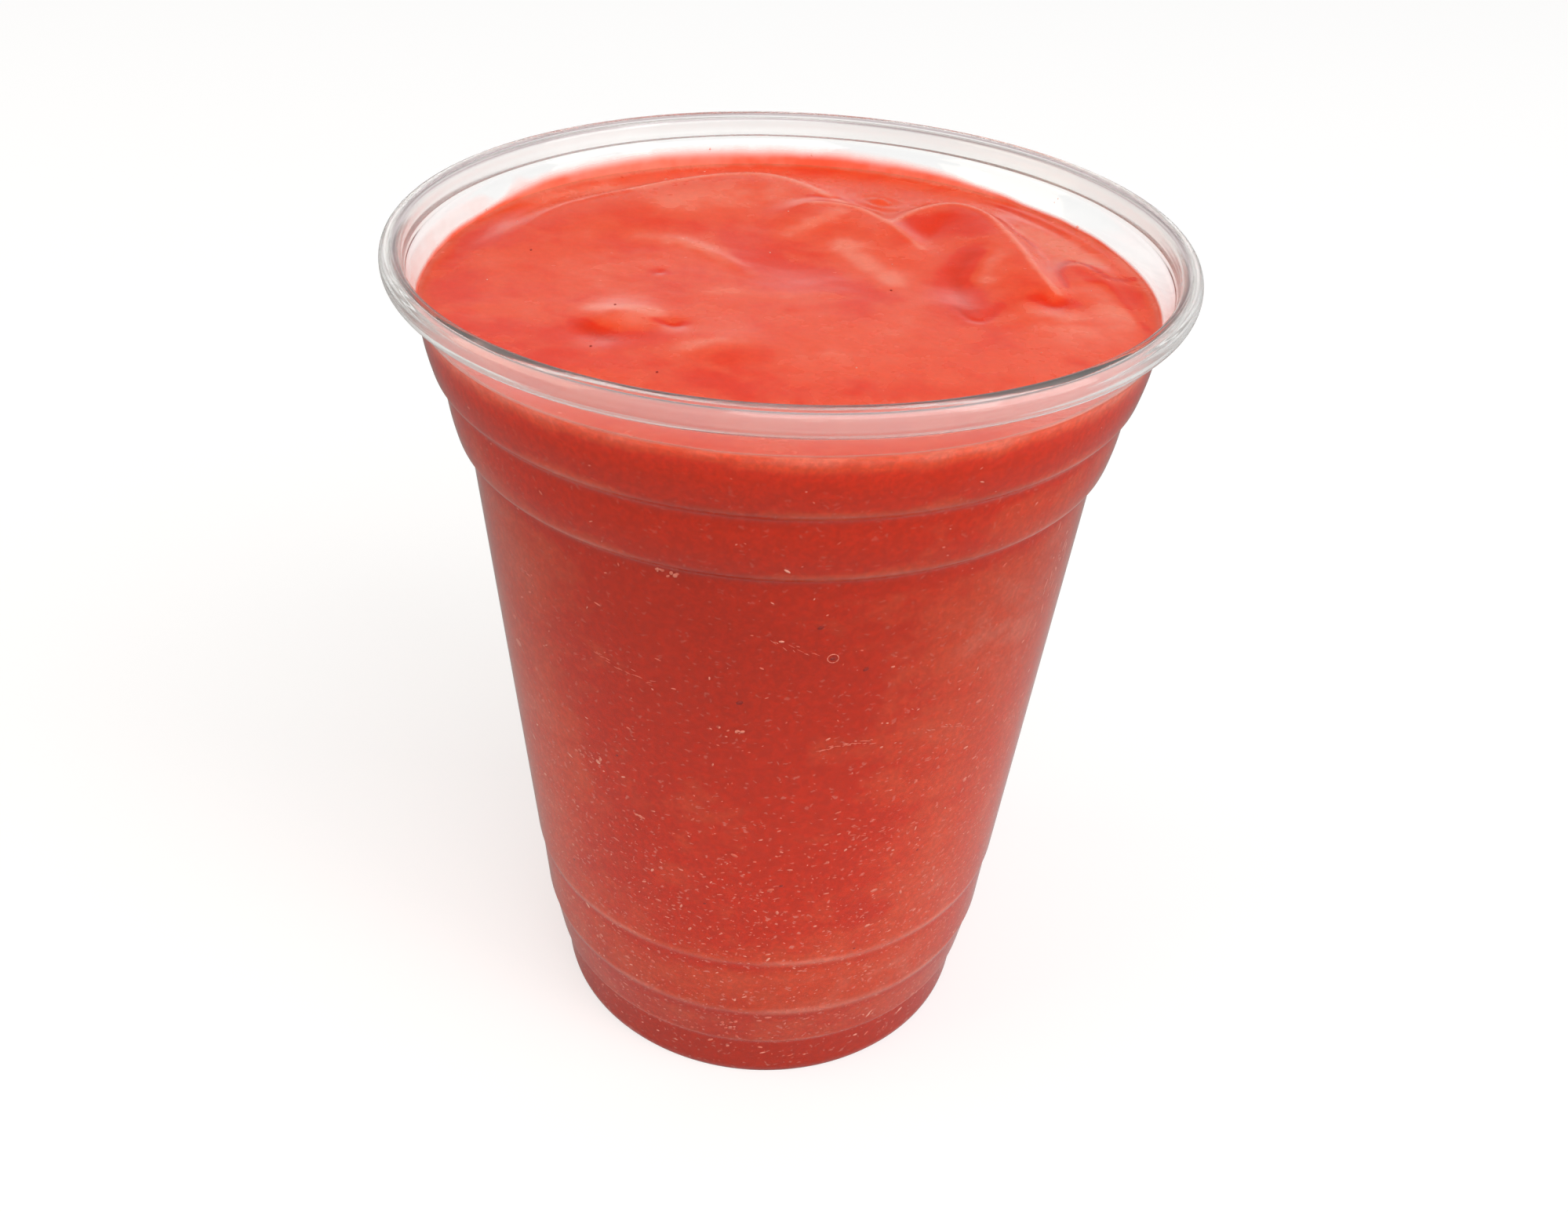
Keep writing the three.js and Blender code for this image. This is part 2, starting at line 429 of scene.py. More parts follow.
# %% Ripple, wrinkles and pulp
def ripple(x, y):
    """The oval ripple round a drop: rings that fade outwards."""
    dx, dy = x - RIPPLE_AT[0], y - RIPPLE_AT[1]
    across = (dx * math.cos(RIPPLE_TURN) + dy * math.sin(RIPPLE_TURN)) / RIPPLE_STRETCH
    deep = -dx * math.sin(RIPPLE_TURN) + dy * math.cos(RIPPLE_TURN)
    radius = np.hypot(across, deep)
    return RIPPLE_RISE * np.cos(radius * RIPPLE_WAVES) * np.exp(-(radius / RIPPLE_REACH) ** 2)


def crinkles(x, y):
    """Fine wrinkles that run down the steep back of the long fold, at the left. Sines bend them."""
    away = np.hypot((x - CRINKLE_AT[0]) / CRINKLE_REACH[0], (y - CRINKLE_AT[1]) / CRINKLE_REACH[1])
    slant = x * CRINKLE_WAY[0] + y * CRINKLE_WAY[1]
    bends = 1.3 * np.sin(y * 1.1) + 0.8 * np.sin(y * 2.3 + x)
    return CRINKLE_RISE * bell(away, 1) * np.sin(slant * CRINKLE_WAVES + bends)


# How many waves the pulp has, their shortest and longest length, and their rise
PULP_WAVES = 60
PULP_LENGTHS = (2.5, 9)
PULP_RISE = 0.007


def pulp(x, y):
    """Low, irregular unevenness of blended fruit: many small waves in random directions."""
    rng = np.random.default_rng(11)
    height = np.zeros(x.shape)
    for _ in range(PULP_WAVES):
        turn, phase = rng.uniform(0, 2 * math.pi, 2)
        length = rng.uniform(*PULP_LENGTHS)
        height += np.cos((x * math.cos(turn) + y * math.sin(turn)) * 2 * math.pi / length + phase)
    return PULP_RISE * height / math.sqrt(PULP_WAVES)


# %% The whole relief
def relief(x, y):
    """How high the surface stands over the fill level, before it is calmed at the wall."""
    rises, lips = zip(*(fold_height(fold, x, y) for fold in FOLDS))
    height = np.sqrt(sum(rise ** 2 for rise in rises)) + sum(lips)
    for at_x, at_y, rise, reach in SWELLS:
        height += rise * bell(np.hypot(x - at_x, y - at_y), reach)
    for points, rise, reach in LINES:
        away, along = near_curve(curve_through(points), x, y)
        height += rise * np.sin(math.pi * along) * bell(away, reach)
    return height + ripple(x, y) + crinkles(x, y) + pulp(x, y)


print("Relief at the middle:", round(float(relief(np.zeros(1), np.zeros(1))[0]), 2), "mm")

# %% [markdown]
# ## The drink against the wall
#
# A drink fills its cup without any air between, so the drink's side follows the sheet and reaches a
# little into it: 0.06 mm. If it stopped short, the plastic would show a silvery gap. At the top it
# clings to the wall and climbs it, a little higher at the back and the front than at the sides.

# %% Where the drink meets the wall
FILL_LEVEL = 112.8
# Heading in degrees from the back, clockwise from above: how far up the wall the drink climbs, how far
# up the film over it is opaque, and where the film ends
EDGE = np.array([
    (-180, 113.0, 113.0, 113.5), (-140, 112.8, 112.9, 113.4), (-128, 112.9, 113.0, 113.8),
    (-118, 113.2, 113.3, 114.6), (-105, 112.9, 113.0, 114.1), (-90, 112.7, 112.7, 113.7),
    (-66, 112.9, 113.0, 114.0), (-61, 113.1, 113.2, 114.3), (-56, 113.3, 113.4, 114.8),
    (-50, 113.3, 113.6, 115.5), (-40, 113.3, 113.7, 115.9), (-30, 113.2, 113.7, 116.1),
    (-10, 113.1, 113.5, 116.1), (8, 113.1, 113.5, 115.9), (16, 113.1, 113.5, 115.6),
    (25, 113.1, 113.5, 115.2), (35, 113.0, 113.2, 114.3), (45, 112.9, 112.9, 113.7),
    (66, 112.8, 112.8, 113.4), (90, 112.8, 112.8, 113.4), (108, 112.9, 113.0, 113.9),
    (120, 113.2, 113.3, 114.6), (130, 113.3, 113.4, 114.4), (142, 113.0, 113.1, 113.6),
    (180, 113.0, 113.0, 113.5),
])
edge_headings, drink_edges, film_solids, film_ends = EDGE.T
print("The drink climbs up to", round(float(drink_edges.max() - FILL_LEVEL), 2), "mm")

# %% The drink's outline
REACH_IN = 0.06
DRINK_SEGMENTS = 380
DRINK_SPACING = 2.2
SURFACE_RINGS = 106
# Distances from the wall of the first rings of the surface, where it climbs
EDGE_STEPS = [0, 0.05, 0.1, 0.16, 0.24, 0.34, 0.48, 0.66, 0.9, 1.2]
drink_line = rounded(sheet_corners(), tuple(bead_line[0]) + (0,), DRINK_SPACING)
drink_side = moved(drink_line, HALF - REACH_IN)
above = int(np.argmax(drink_side[:, 1] > FILL_LEVEL))
low, high = drink_side[above - 1], drink_side[above]
lean = (high[0] - low[0]) / (high[1] - low[1])
WALL_RADIUS = low[0] + lean * (FILL_LEVEL - low[1])
edge_radii = WALL_RADIUS - np.array(EDGE_STEPS)
surface_radii = np.concatenate([edge_radii, np.linspace(edge_radii[-1], 0, SURFACE_RINGS)[1:]])
drink_outline = [tuple(point) for point in drink_side[:above]]
side_rings = len(drink_outline)
drink_outline += [(radius, FILL_LEVEL) for radius in surface_radii]
drink_points, drink_faces = turned(drink_outline, DRINK_SEGMENTS)
print("Wall radius at the fill level:", round(WALL_RADIUS, 2), "mm")

# %% The surface, lifted and lowered
CALM_EDGE = 5
CLIMB_REACH = 0.3
# Soft streaks beside the wall: radius, rise, reach. Then the headings where they come and go
STREAKS = [(43.2, 0.05, 0.5), (41.8, -0.07, 0.8)]
STREAKS_COME, STREAKS_GO = (5, 30), (62, 85)
first_top = 1 + (side_rings - 1) * DRINK_SEGMENTS
surface_x, surface_y = drink_points[first_top:, 0], drink_points[first_top:, 1]
radius = np.hypot(surface_x, surface_y)
from_wall = WALL_RADIUS - radius
heading = np.degrees(np.arctan2(surface_x, surface_y))
lift = relief(surface_x, surface_y) * eased(from_wall, 0, CALM_EDGE)
beside_wall = eased(heading, *STREAKS_COME) * (1 - eased(heading, *STREAKS_GO))
for at_radius, rise, reach in STREAKS:
    lift += rise * beside_wall * bell(radius - at_radius, reach)
# The thin layer that climbs the leaning wall, and follows it outwards
climb = (np.interp(heading, edge_headings, drink_edges) - FILL_LEVEL) * np.exp(-from_wall / CLIMB_REACH)
drink_points[first_top:, 2] += lift + climb
outwards = 1 + climb * lean / np.maximum(radius, 1)
drink_points[first_top:, 0] *= outwards
drink_points[first_top:, 1] *= outwards

smoothie = add_mesh("smoothie_body", drink_points, drink_faces)
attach(smoothie, "root")
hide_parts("smoothie")
print("smoothie_body:", len(drink_faces), "faces, highest fold", round(drink_points[:, 2].max(), 2), "mm")

# %% [markdown]
# ## Swirls of paler and deeper fruit, and painted light and shade
#
# Blended fruit is never one colour. Foam makes pale strokes, juice makes deep red ones. Some strokes
# are painted light and shade instead: pale ones are painted highlights and reflections on the crests, the
# lit lump and a pool by the wall, and deep ones are painted shade in furrows, pits and dips. The larger
# strokes are painted on the mesh as two numbers per point, "pale" and "deep". Each is a bell curve
# round a curve drawn from above. The material mixes its colours by these numbers and adds the small,
# irregular swirls with noise.

# %% Paler strokes on the surface, some of them painted highlights
# Each has its points, its strength and its reach
PALE_AND_HIGHLIGHT_STROKES = [
    ([(-20, 13), (-14, 11.5), (-8, 6.5)], 0.9, 2.0),
    ([(-9, -3), (-4, -4.2), (1.6, -4)], 0.5, 1.7),
    ([(-1, 16), (2.5, 19.5), (6, 23)], 0.9, 1.6),
    ([(7, 13), (8.5, 9), (11, 5), (13, 2)], 1.2, 2.3),
    # Painted light on the lump: a highlight on its lit top, and its lit front a little paler
    ([(-23, -10.6), (-19.6, -10.6), (-16, -10.8)], 1.2, 1.5),
    ([(-21, -13.6), (-17, -13.8)], 0.5, 2.0),
    ([(-12, -20.4), (-8.5, -18.6), (-5, -18.4)], 0.8, 1.7),
    ([(2, -19), (6, -20)], 0.4, 2.6),
    ([(26, 11), (25, 7), (24, 3)], 0.8, 2.2),
    ([(-28, 5), (-24, -2), (-20, -5)], 0.35, 3.5),
    ([(-16, 24), (-9, 27), (-4, 30)], 0.7, 4.5),
    ([(-33, 24), (-24, 29)], 0.4, 3.0),
    ([(32, -8), (36, -11), (40, -8)], 0.75, 4.2),
    ([(36, 1), (38.5, 0), (39.5, -5)], 0.5, 2.4),
    # A painted reflection of the sky, in the pale pool between the third fold and the wall
    ([(32, 22), (35, 17), (38, 11)], 1.0, 2.8),
    ([(-35, -12), (-31, -12)], 0.4, 2.2),
    ([(14, 2), (15, -6), (13, -14)], 0.3, 3.0),
    ([(-25, 16), (-27, 12)], 0.5, 2.6),
    ([(16, -22), (10, -25)], 0.2, 3.5),
    ([(-38, 3), (-35, -1)], 0.5, 2.6),
    # Painted highlights along the crests of the three folds
    ([(-22, 28), (-13, 34), (-5, 36.5), (1, 34), (7, 28)], 1.4, 0.7),
    ([(2.5, 26), (8, 25), (12, 21), (17, 12.5)], 1.2, 0.5),
    ([(13, 20), (17, 25), (22, 27), (26, 23.5), (29, 14), (31, 5), (33, -1)], 1.2, 0.5),
    ([(-38, 25), (-33, 29), (-27, 32)], 0.8, 2.4),
]
print("Paler strokes:", len(PALE_AND_HIGHLIGHT_STROKES))

# %% Deeper strokes on the surface, some of them painted shade
DEEP_AND_SHADE_STROKES = [
    ([(-5, 8), (-1, 5.6), (3.4, 3.4)], 1.0, 2.6),
    ([(-2, -1), (4, 0), (11, -3)], 0.45, 2.6),
    ([(17, 20.5), (20.5, 20.5), (24, 18.5)], 1.1, 2.6),
    # Painted shade in the dip in front of the lump
    ([(-24, -15.4), (-21.5, -17.5), (-20, -18.6)], 1.6, 1.3),
    ([(-17.8, -17.4), (-16.2, -17.6)], 1.0, 0.9),
    ([(-32, -17), (-24, -18.5), (-14, -19)], 0.5, 2.4),
    ([(-10, -17.2), (-9, -17.4)], 0.7, 0.9),
    # Painted shade in two furrows, along the same lines as in the relief
    ([(23.6, 11), (21, 5), (21, -2), (22, -6)], 1.7, 1.9),
    ([(30.4, -3), (32.1, -4), (34.4, -3)], 1.2, 1.4),
    ([(-12, 18), (-8, 14)], 0.25, 3.0),
    ([(-6, 33.5), (-5.5, 32)], 0.5, 1.6),
    ([(42, 3), (43, -5), (42.8, -12)], 0.5, 1.6),
    ([(-40, 10), (-41, 0), (-39, -8)], 0.45, 3.0),
    ([(8, -6), (9, -10)], 0.4, 2.2),
    # Painted shade in a small furrow, and the shadow line round the loop at the right
    ([(-15.4, -13.2), (-13.2, -14.4), (-12.2, -13.7)], 1.3, 0.6),
    ([(34.3, 1.6), (34.1, 6.7), (36.3, 11.4), (39.2, 7.3), (40.9, 5.4), (43.7, 6.3)], 2.2, 0.42),
    ([(36, 8), (38, 6)], 0.5, 1.4),
    ([(37.5, 4.3), (39.8, 3.8), (41, -1.4), (42.4, -9.4)], 0.8, 0.5),
    # Painted shade in the groove behind the third fold, in two more furrows and in a pit
    ([(28.5, 21.8), (30.5, 19.2), (32.1, 15.5)], 1.8, 0.42),
    ([(20, -5), (21.7, -9), (23.6, -8.8), (25.6, -4.6)], 1.2, 0.5),
    ([(2, 29.5), (8, 30)], 0.9, 0.4),
    ([(-16.8, 1.6), (-15.6, 1.4)], 1.1, 0.8),
    ([(-37, -19), (-28, -24), (-18, -26)], 0.5, 3.0),
    ([(24, -12), (22, -20), (12, -24)], 0.35, 3.0),
    ([(10, -29), (0, -30), (-10, -29)], 0.4, 3.0),
]
print("Deeper strokes:", len(DEEP_AND_SHADE_STROKES))


def painted(strokes, x, y):
    """The sum of all strokes at each spot."""
    amount = np.zeros(x.shape)
    for points, strength, reach in strokes:
        away, _ = near_curve(curve_through(points), x, y)
        amount += strength * bell(away, reach)
    return amount


# %% [markdown]
# The side has its own strokes. A point of theirs is a bearing from the front, in degrees to the right, and
# a height. Under every ledge and lip a pale strip is a painted highlight, with a narrow band of painted
# shade below it. The side is painted darker downwards and in the middle of the front, as shade, and
# lighter just under the drink's edge, as light, so a third number per point says how light it is.

# %% Strokes on the side
SIDE_PALE_AND_LIGHT_STROKES = [
    ([(42, 28), (50, 58), (54, 84)], 0.6, 14), ([(-54, 25), (-56, 60), (-54, 88)], 0.5, 10),
    ([(-35, 24), (0, 21), (35, 24)], 0.35, 8), ([(-16, 62), (-4, 66)], 0.25, 6),
    ([(24, 61), (36, 57)], 0.3, 3.5), ([(-5, 55), (9, 54)], 0.35, 2.5), ([(-32, 79), (-21, 77.5)], 0.3, 2),
    ([(10, 70), (22, 70), (34, 69)], 0.3, 2.4), ([(30, 88), (45, 80)], 0.3, 7),
    # The stroke at 113 mm on this line is painted light: the drink lit from above, just under its edge
    ([(-60, 113), (-20, 113), (20, 113), (60, 113)], 1.6, 1.7), ([(-34, 50), (-44, 56)], 0.25, 4),
]
SIDE_DEEP_STROKES = [
    ([(-12, 92), (-8, 86), (-10, 76)], 0.8, 4.5), ([(4, 83), (12, 80), (15, 75)], 0.6, 3.2),
    ([(-24, 88), (-26, 70)], 0.45, 7), ([(20, 38), (26, 36.5)], 0.8, 2.6), ([(20, 55), (45, 55)], 0.4, 1.6),
    ([(2, 50), (10, 49)], 0.4, 2.6), ([(-70, 4), (-20, 5), (20, 5), (70, 4)], 0.6, 3.6),
    ([(-70, 109), (-20, 109), (20, 109), (70, 109)], 0.7, 3.4), ([(-8, 68), (8, 60), (14, 46)], 0.3, 7),
    ([(-40, 102), (0, 101), (30, 102)], 0.4, 3.5), ([(-30, 45), (-20, 60)], 0.3, 4),
    ([(-40, 40), (-28, 50)], 0.3, 5), ([(-12, 100), (-4, 84), (2, 68)], 0.45, 15),
]
# One degree round the cup, at half its height
MM_PER_DEGREE = 0.66
side_x, side_y, side_z = drink_points[:first_top].T
bearing = np.degrees(np.arctan2(side_x, -side_y))


def on_side(strokes):
    """The same strokes with their bearings turned into millimetres round the cup."""
    return [([(a * MM_PER_DEGREE, z) for a, z in points], strength, reach)
            for points, strength, reach in strokes]


print("Strokes on the side:", len(SIDE_PALE_AND_LIGHT_STROKES) + len(SIDE_DEEP_STROKES))

# %% Painted highlights and shade at the ledges and lips
# Height of each painted highlight strip, its strength and reach
LEDGE_HIGHLIGHTS = [(105.3, 1.3, 0.8), (96.2, 1.4, 0.8), (28.8, 1.0, 0.6), (17.5, 1.0, 0.6), (9.3, 1.0, 0.5)]
# A strip is weaker and stronger by turns round the cup
STRIP_MEAN, STRIP_SWING, STRIP_WAVES = 0.75, 0.25, 9
# How far below its strip the painted shade lies, and its share of the strip's strength
SHADE_GAP, SHADE_SHARE = 1.5, 0.6
ledge_highlight = sum(strength * bell(side_z - height, reach) for height, strength, reach in LEDGE_HIGHLIGHTS)
ledge_highlight *= STRIP_MEAN + STRIP_SWING * np.sin(np.radians(bearing) * STRIP_WAVES)
ledge_shade = sum(SHADE_SHARE * strength * bell(side_z - height + SHADE_GAP, reach)
                 for height, strength, reach in LEDGE_HIGHLIGHTS)
print("Strips:", len(LEDGE_HIGHLIGHTS), " strongest:", round(float(ledge_highlight.max()), 2))

# %% Pale, deep and painted light on the mesh
# At the wall the strokes fade out, and a pale edge takes their place
PALE_FADE, DEEP_FADE, PALE_EDGE = 2, 1, 1.0
pale = np.concatenate([
    ledge_highlight + painted(on_side(SIDE_PALE_AND_LIGHT_STROKES), bearing * MM_PER_DEGREE, side_z),
    painted(PALE_AND_HIGHLIGHT_STROKES, surface_x, surface_y) * eased(from_wall, 0, PALE_FADE)
    + bell(from_wall, PALE_EDGE),
])
deep = np.concatenate([
    painted(on_side(SIDE_DEEP_STROKES), bearing * MM_PER_DEGREE, side_z) + ledge_shade,
    painted(DEEP_AND_SHADE_STROKES, surface_x, surface_y) * eased(from_wall, 0, DEEP_FADE),
])
# How light the side is painted at each height: painted shade over most of it, darkest at the foot, and
# painted light just under the drink's edge
PAINTED_LIGHT = np.array([
    (0, 0.61), (6, 0.64), (12, 0.74), (17, 0.73), (24, 0.80), (30, 0.83), (47, 0.84), (60, 0.81), (70, 0.77),
    (80, 0.73), (89, 0.70), (95, 0.74), (101, 0.79), (106, 0.81), (109, 0.86), (113, 1.1),
])
# How much the deep strokes darken the side, partly juice and partly the painted shade under the ledges,
# and how much the painted highlights there lighten it. Then the painted shade on the surface: how much
# darker it is at the wall, over which distance, and how much its deepest strokes darken it, in the
# furrows, pits and dips
DEEP_AND_SHADE_DARKEN, HIGHLIGHT_LIGHTENS = 0.05, 0.13
WALL_SHADE, WALL_SHADE_REACH, CREASE_SHADE = 0.12, 1.2, 0.11
side_painted_light = np.interp(side_z, *PAINTED_LIGHT.T) * (1 - DEEP_AND_SHADE_DARKEN * deep[:first_top])
side_painted_light += HIGHLIGHT_LIGHTENS * ledge_highlight
# Painted shade on the surface: in the corner at the wall, and in the furrows, pits and dips
surface_painted_light = 1 - WALL_SHADE * bell(from_wall, WALL_SHADE_REACH)
surface_painted_light -= CREASE_SHADE * eased(deep[first_top:], 1, 2)
for name, values in (("pale", pale), ("deep", deep),
                     ("lightness", np.concatenate([side_painted_light, surface_painted_light]))):
    add_floats(smoothie, name, values)
    print(name, "from", round(float(values.min()), 2), "to", round(float(values.max()), 2))

# %% [markdown]
# ## The film that the pour left on the wall
#
# Over the drink's edge the inner wall carries a film that thins out upwards, from opaque red to
# nothing. It is a sheet that hugs the wall, with one number per point that says how well it covers.
# The material turns that number, broken up by noise, into see-through.

# %% Where the film begins, thins out and ends
# How far under the drink's edge it begins, and its edge's waves: rise, number round the cup, shift
FILM_BELOW = 0.5
FILM_WAVES = [(0.04, 13, 0), (0.02, 31, 2)]
# One narrow smear, where the drink once touched the rim: heading, reach, rise
SMEAR_AT, SMEAR_REACH, SMEAR_RISE = -56, 2.2, 1.7
# A painted warm reflection on the wall at the left, hardly to be seen, made as a thin veil of film: its
# top, and where it comes and goes
REFLECTION_TOP = 115.9
REFLECTION_COMES, REFLECTION_GOES = (-112, -96), (-66, -60)
film_turns = np.arange(DRINK_SEGMENTS) * (2 * math.pi / DRINK_SEGMENTS)
film_x, film_y = np.sin(film_turns), -np.cos(film_turns)
film_heading = np.degrees(np.arctan2(film_x, film_y))
film_waves = sum(rise * np.sin(film_turns * number + shift) for rise, number, shift in FILM_WAVES)
film_low = np.interp(film_heading, edge_headings, drink_edges) - FILM_BELOW
film_solid = np.interp(film_heading, edge_headings, film_solids) + film_waves
film_high = np.interp(film_heading, edge_headings, film_ends) + film_waves
smear = bell(film_heading - SMEAR_AT, SMEAR_REACH)
film_high += SMEAR_RISE * smear
reflection_veil = eased(film_heading, *REFLECTION_COMES) * (1 - eased(film_heading, *REFLECTION_GOES))
film_top = film_high + np.maximum(REFLECTION_TOP - film_high, 0) * reflection_veil
print("The film reaches from", round(film_low.min(), 2), "to", round(film_top.max(), 2), "mm")

# %% The film
FILM_INSET = 0.03
WALL_POINTS = 40
# Rows up to where it is opaque, and from there to its end
SOLID_ROWS, THIN_ROWS = 6, 21
# How much the smear thins the film, the cover of the painted reflection, and the height over which it ends
SMEAR_THINS, REFLECTION_COVER, REFLECTION_FADE = 0.5, 0.2, 0.9
film_shares = np.concatenate([np.linspace(0, 0.5, SOLID_ROWS), np.linspace(0.5, 1, THIN_ROWS)[1:]])
inner_wall = moved(wall_line, HALF)[-WALL_POINTS:]
film_points, film_cover = [], []
for share in film_shares:
    if share <= 0.5:
        heights = film_low + (film_solid - film_low) * share * 2
    else:
        heights = film_solid + (film_top - film_solid) * (share * 2 - 1)
    radii = np.interp(heights, inner_wall[:, 1], inner_wall[:, 0]) - FILM_INSET
    film_points.append(np.stack([film_x * radii, film_y * radii, heights], axis=1))
    main = 1 - eased(heights, film_solid, film_high)
    main *= 1 - SMEAR_THINS * smear * eased(share, 0.5, 0.7)
    thin = REFLECTION_COVER * reflection_veil * (1 - eased(heights, film_top - REFLECTION_FADE, film_top))
    film_cover.append(np.maximum(main, thin))
film_faces = []
for row in range(len(film_shares) - 1):
    for k in range(DRINK_SEGMENTS):
        on = (k + 1) % DRINK_SEGMENTS
        lower, upper = row * DRINK_SEGMENTS, (row + 1) * DRINK_SEGMENTS
        film_faces.append((lower + on, lower + k, upper + k, upper + on))
film = add_mesh("wall_film", np.concatenate(film_points), film_faces)
add_floats(film, "cover", np.concatenate(film_cover))
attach(film, "root")
print("wall_film:", len(film_faces), "faces")

# %% [markdown]
# ## Bubbles, flecks and seeds
#
# Where the drink touches the plastic it shows thousands of tiny pale flecks: air bubbles and bits of
# pulp, flattened against the wall, most of them low down where they settled. Each one is a small
# flattened ball, laid on the drink's side by its bearing and height. All of them go into one mesh,
# because thousands of objects would be slow. The random numbers have a fixed seed, so that every run
# gives the same drink.

# %% A small ball, laid on the side
BALL_POINTS, BALL_FACES = turned([(0, -1), (0.75, -0.65), (1, 0), (0.75, 0.65), (0, 1)], 6)
FLECK_DEPTH = 0.09
# The first point of the outline that belongs to the side, and the step by which its slope is measured
SIDE_FROM, SLOPE_STEP = 8, 0.5
rng = np.random.default_rng(7)
side_heights = drink_side[SIDE_FROM:above, 1]
side_radii = drink_side[SIDE_FROM:above, 0]


def side_frame(bearing_now, height):
    """A place on the drink's side, and its directions round, up and out."""
    angle = math.radians(bearing_now)
    radius_now = np.interp(height, side_heights, side_radii)
    slope = (np.interp(height + SLOPE_STEP, side_heights, side_radii) - radius_now) / SLOPE_STEP
    round_way = np.array([math.cos(angle), math.sin(angle), 0])
    up_way = np.array([slope * math.sin(angle), -slope * math.cos(angle), 1])
    up_way /= np.linalg.norm(up_way)
    place = np.array([radius_now * math.sin(angle), -radius_now * math.cos(angle), height])
    return place, round_way, up_way, np.cross(round_way, up_way)


def fleck(bearing_now, height, length, width, tilt):
    """Points of one flattened ball on the drink's side; tilt is in degrees from level."""
    place, round_way, up_way, out = side_frame(bearing_now, height)
    turn = math.radians(tilt)
    long_way = round_way * math.cos(turn) + up_way * math.sin(turn)
    short_way = up_way * math.cos(turn) - round_way * math.sin(turn)
    axes = np.stack([long_way * length / 2, short_way * width / 2, out * FLECK_DEPTH])
    return place + BALL_POINTS @ axes


def gather(name, balls, tones=None):
    """One mesh piece of many balls, in the drink's slot. Each ball may have a tone from 0 to 1."""
    faces = [tuple(corner + k * len(BALL_POINTS) for corner in face)
             for k in range(len(balls)) for face in BALL_FACES]
    piece = add_mesh(name, np.concatenate(balls), faces)
    add_floats(piece, "tone", np.repeat(tones or [0.5] * len(balls), len(BALL_POINTS)))
    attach(piece, "root")
    print(name + ":", len(balls), "pieces,", len(faces), "faces")
    return piece


print("One ball has", len(BALL_FACES), "faces")

# %% Flecks all over the side
FLECK_COUNT = 5200
# Height, and how thick the flecks lie there
FLECK_BANDS = [(2, 0.6), (8, 1.35), (34, 1.35), (50, 0.9), (62, 0.3), (80, 0.14), (90, 0.1), (111, 0.05)]
THICKEST = 1.4
# Usual, smallest and largest length, and how slender a fleck may be
FLECK_LENGTH, SHORTEST, LONGEST = 0.34, 0.16, 1.1
SLENDER = (0.22, 0.6)
band_heights, band_shares = zip(*FLECK_BANDS)
flecks = []
while len(flecks) < FLECK_COUNT:
    height = rng.uniform(band_heights[0], band_heights[-1])
    if rng.uniform(0, THICKEST) > np.interp(height, band_heights, band_shares):
        continue
    length = float(np.clip(FLECK_LENGTH * math.exp(rng.normal(0, 0.5)), SHORTEST, LONGEST))
    flecks.append(fleck(rng.uniform(-180, 180), height, length, length * rng.uniform(*SLENDER),
                        rng.normal(20, 35)))
# The power makes most of them dim
tones = list(rng.uniform(0.05, 1, len(flecks)) ** 3)
print("Flecks:", len(flecks), " bright ones:", sum(tone > 0.5 for tone in tones))

# %% [markdown]
# Some marks stand out in the photograph, so they have places of their own: two scratchy threads of
# foam at half height, an arc at the left, clusters of bubbles, and one larger bubble with a ring.

# %% Threads of foam
# Points as bearing and height, and the thread's width
THREADS = [
    ([(9, 69.2), (14, 70.2), (20, 69.8)], 0.22), ([(30, 69.6), (36, 68.8), (42, 66.8)], 0.2),
    ([(-33, 79.2), (-27, 78), (-20, 77.4)], 0.14), ([(0, 86.5), (7, 84.6)], 0.14),
    ([(44, 48), (52, 46)], 0.12), ([(-52, 85), (-48, 85.2)], 0.2), ([(18, 53.6), (26, 53)], 0.12),
]
THREAD_STEPS, THREAD_SHARE, THREAD_TONE = 16, 0.55, 0.28
for points, width in THREADS:
    line = curve_through(points, THREAD_STEPS)
    turns = np.degrees(np.arctan2(np.gradient(line[:, 1]), np.gradient(line[:, 0]) * MM_PER_DEGREE))
    for (at_bearing, at_height), turn in zip(line, turns):
        if rng.uniform() < THREAD_SHARE:
            flecks.append(fleck(at_bearing + rng.normal(0, 0.4), at_height + rng.normal(0, 0.22),
                                rng.uniform(0.3, 1.1), width * rng.uniform(0.4, 0.9),
                                turn + rng.normal(0, 14)))
tones += list(rng.uniform(0.0, THREAD_TONE, len(flecks) - len(tones)))
print("Flecks with the threads:", len(flecks))

# %% Clusters, glints and the ringed bubble
# Bearing, height, width in degrees, height of the cluster, and how many
CLUSTERS = [
    (-39, 60, 3.5, 1.0, 14), (-26, 53.5, 1.2, 0.8, 6), (-44, 49, 5, 0.8, 8), (-17, 94.3, 2.5, 0.4, 9),
    (-7, 72, 4, 0.8, 7), (46, 57.5, 4, 1.2, 8), (-44, 22.5, 3, 1, 8), (-8, 13, 4, 1, 8),
    # The cluster at 60 degrees and 86 mm is painted glints, like the patch below
    (61, 64.5, 1.5, 0.5, 4), (60, 86, 3, 3.5, 10),
]
for at_bearing, at_height, wide, high_now, count in CLUSTERS:
    for _ in range(count):
        size = rng.uniform(0.3, 0.75)
        flecks.append(fleck(rng.normal(at_bearing, wide / 2), rng.normal(at_height, high_now / 2), size,
                            size * rng.uniform(0.5, 0.8), rng.normal(20, 30)))
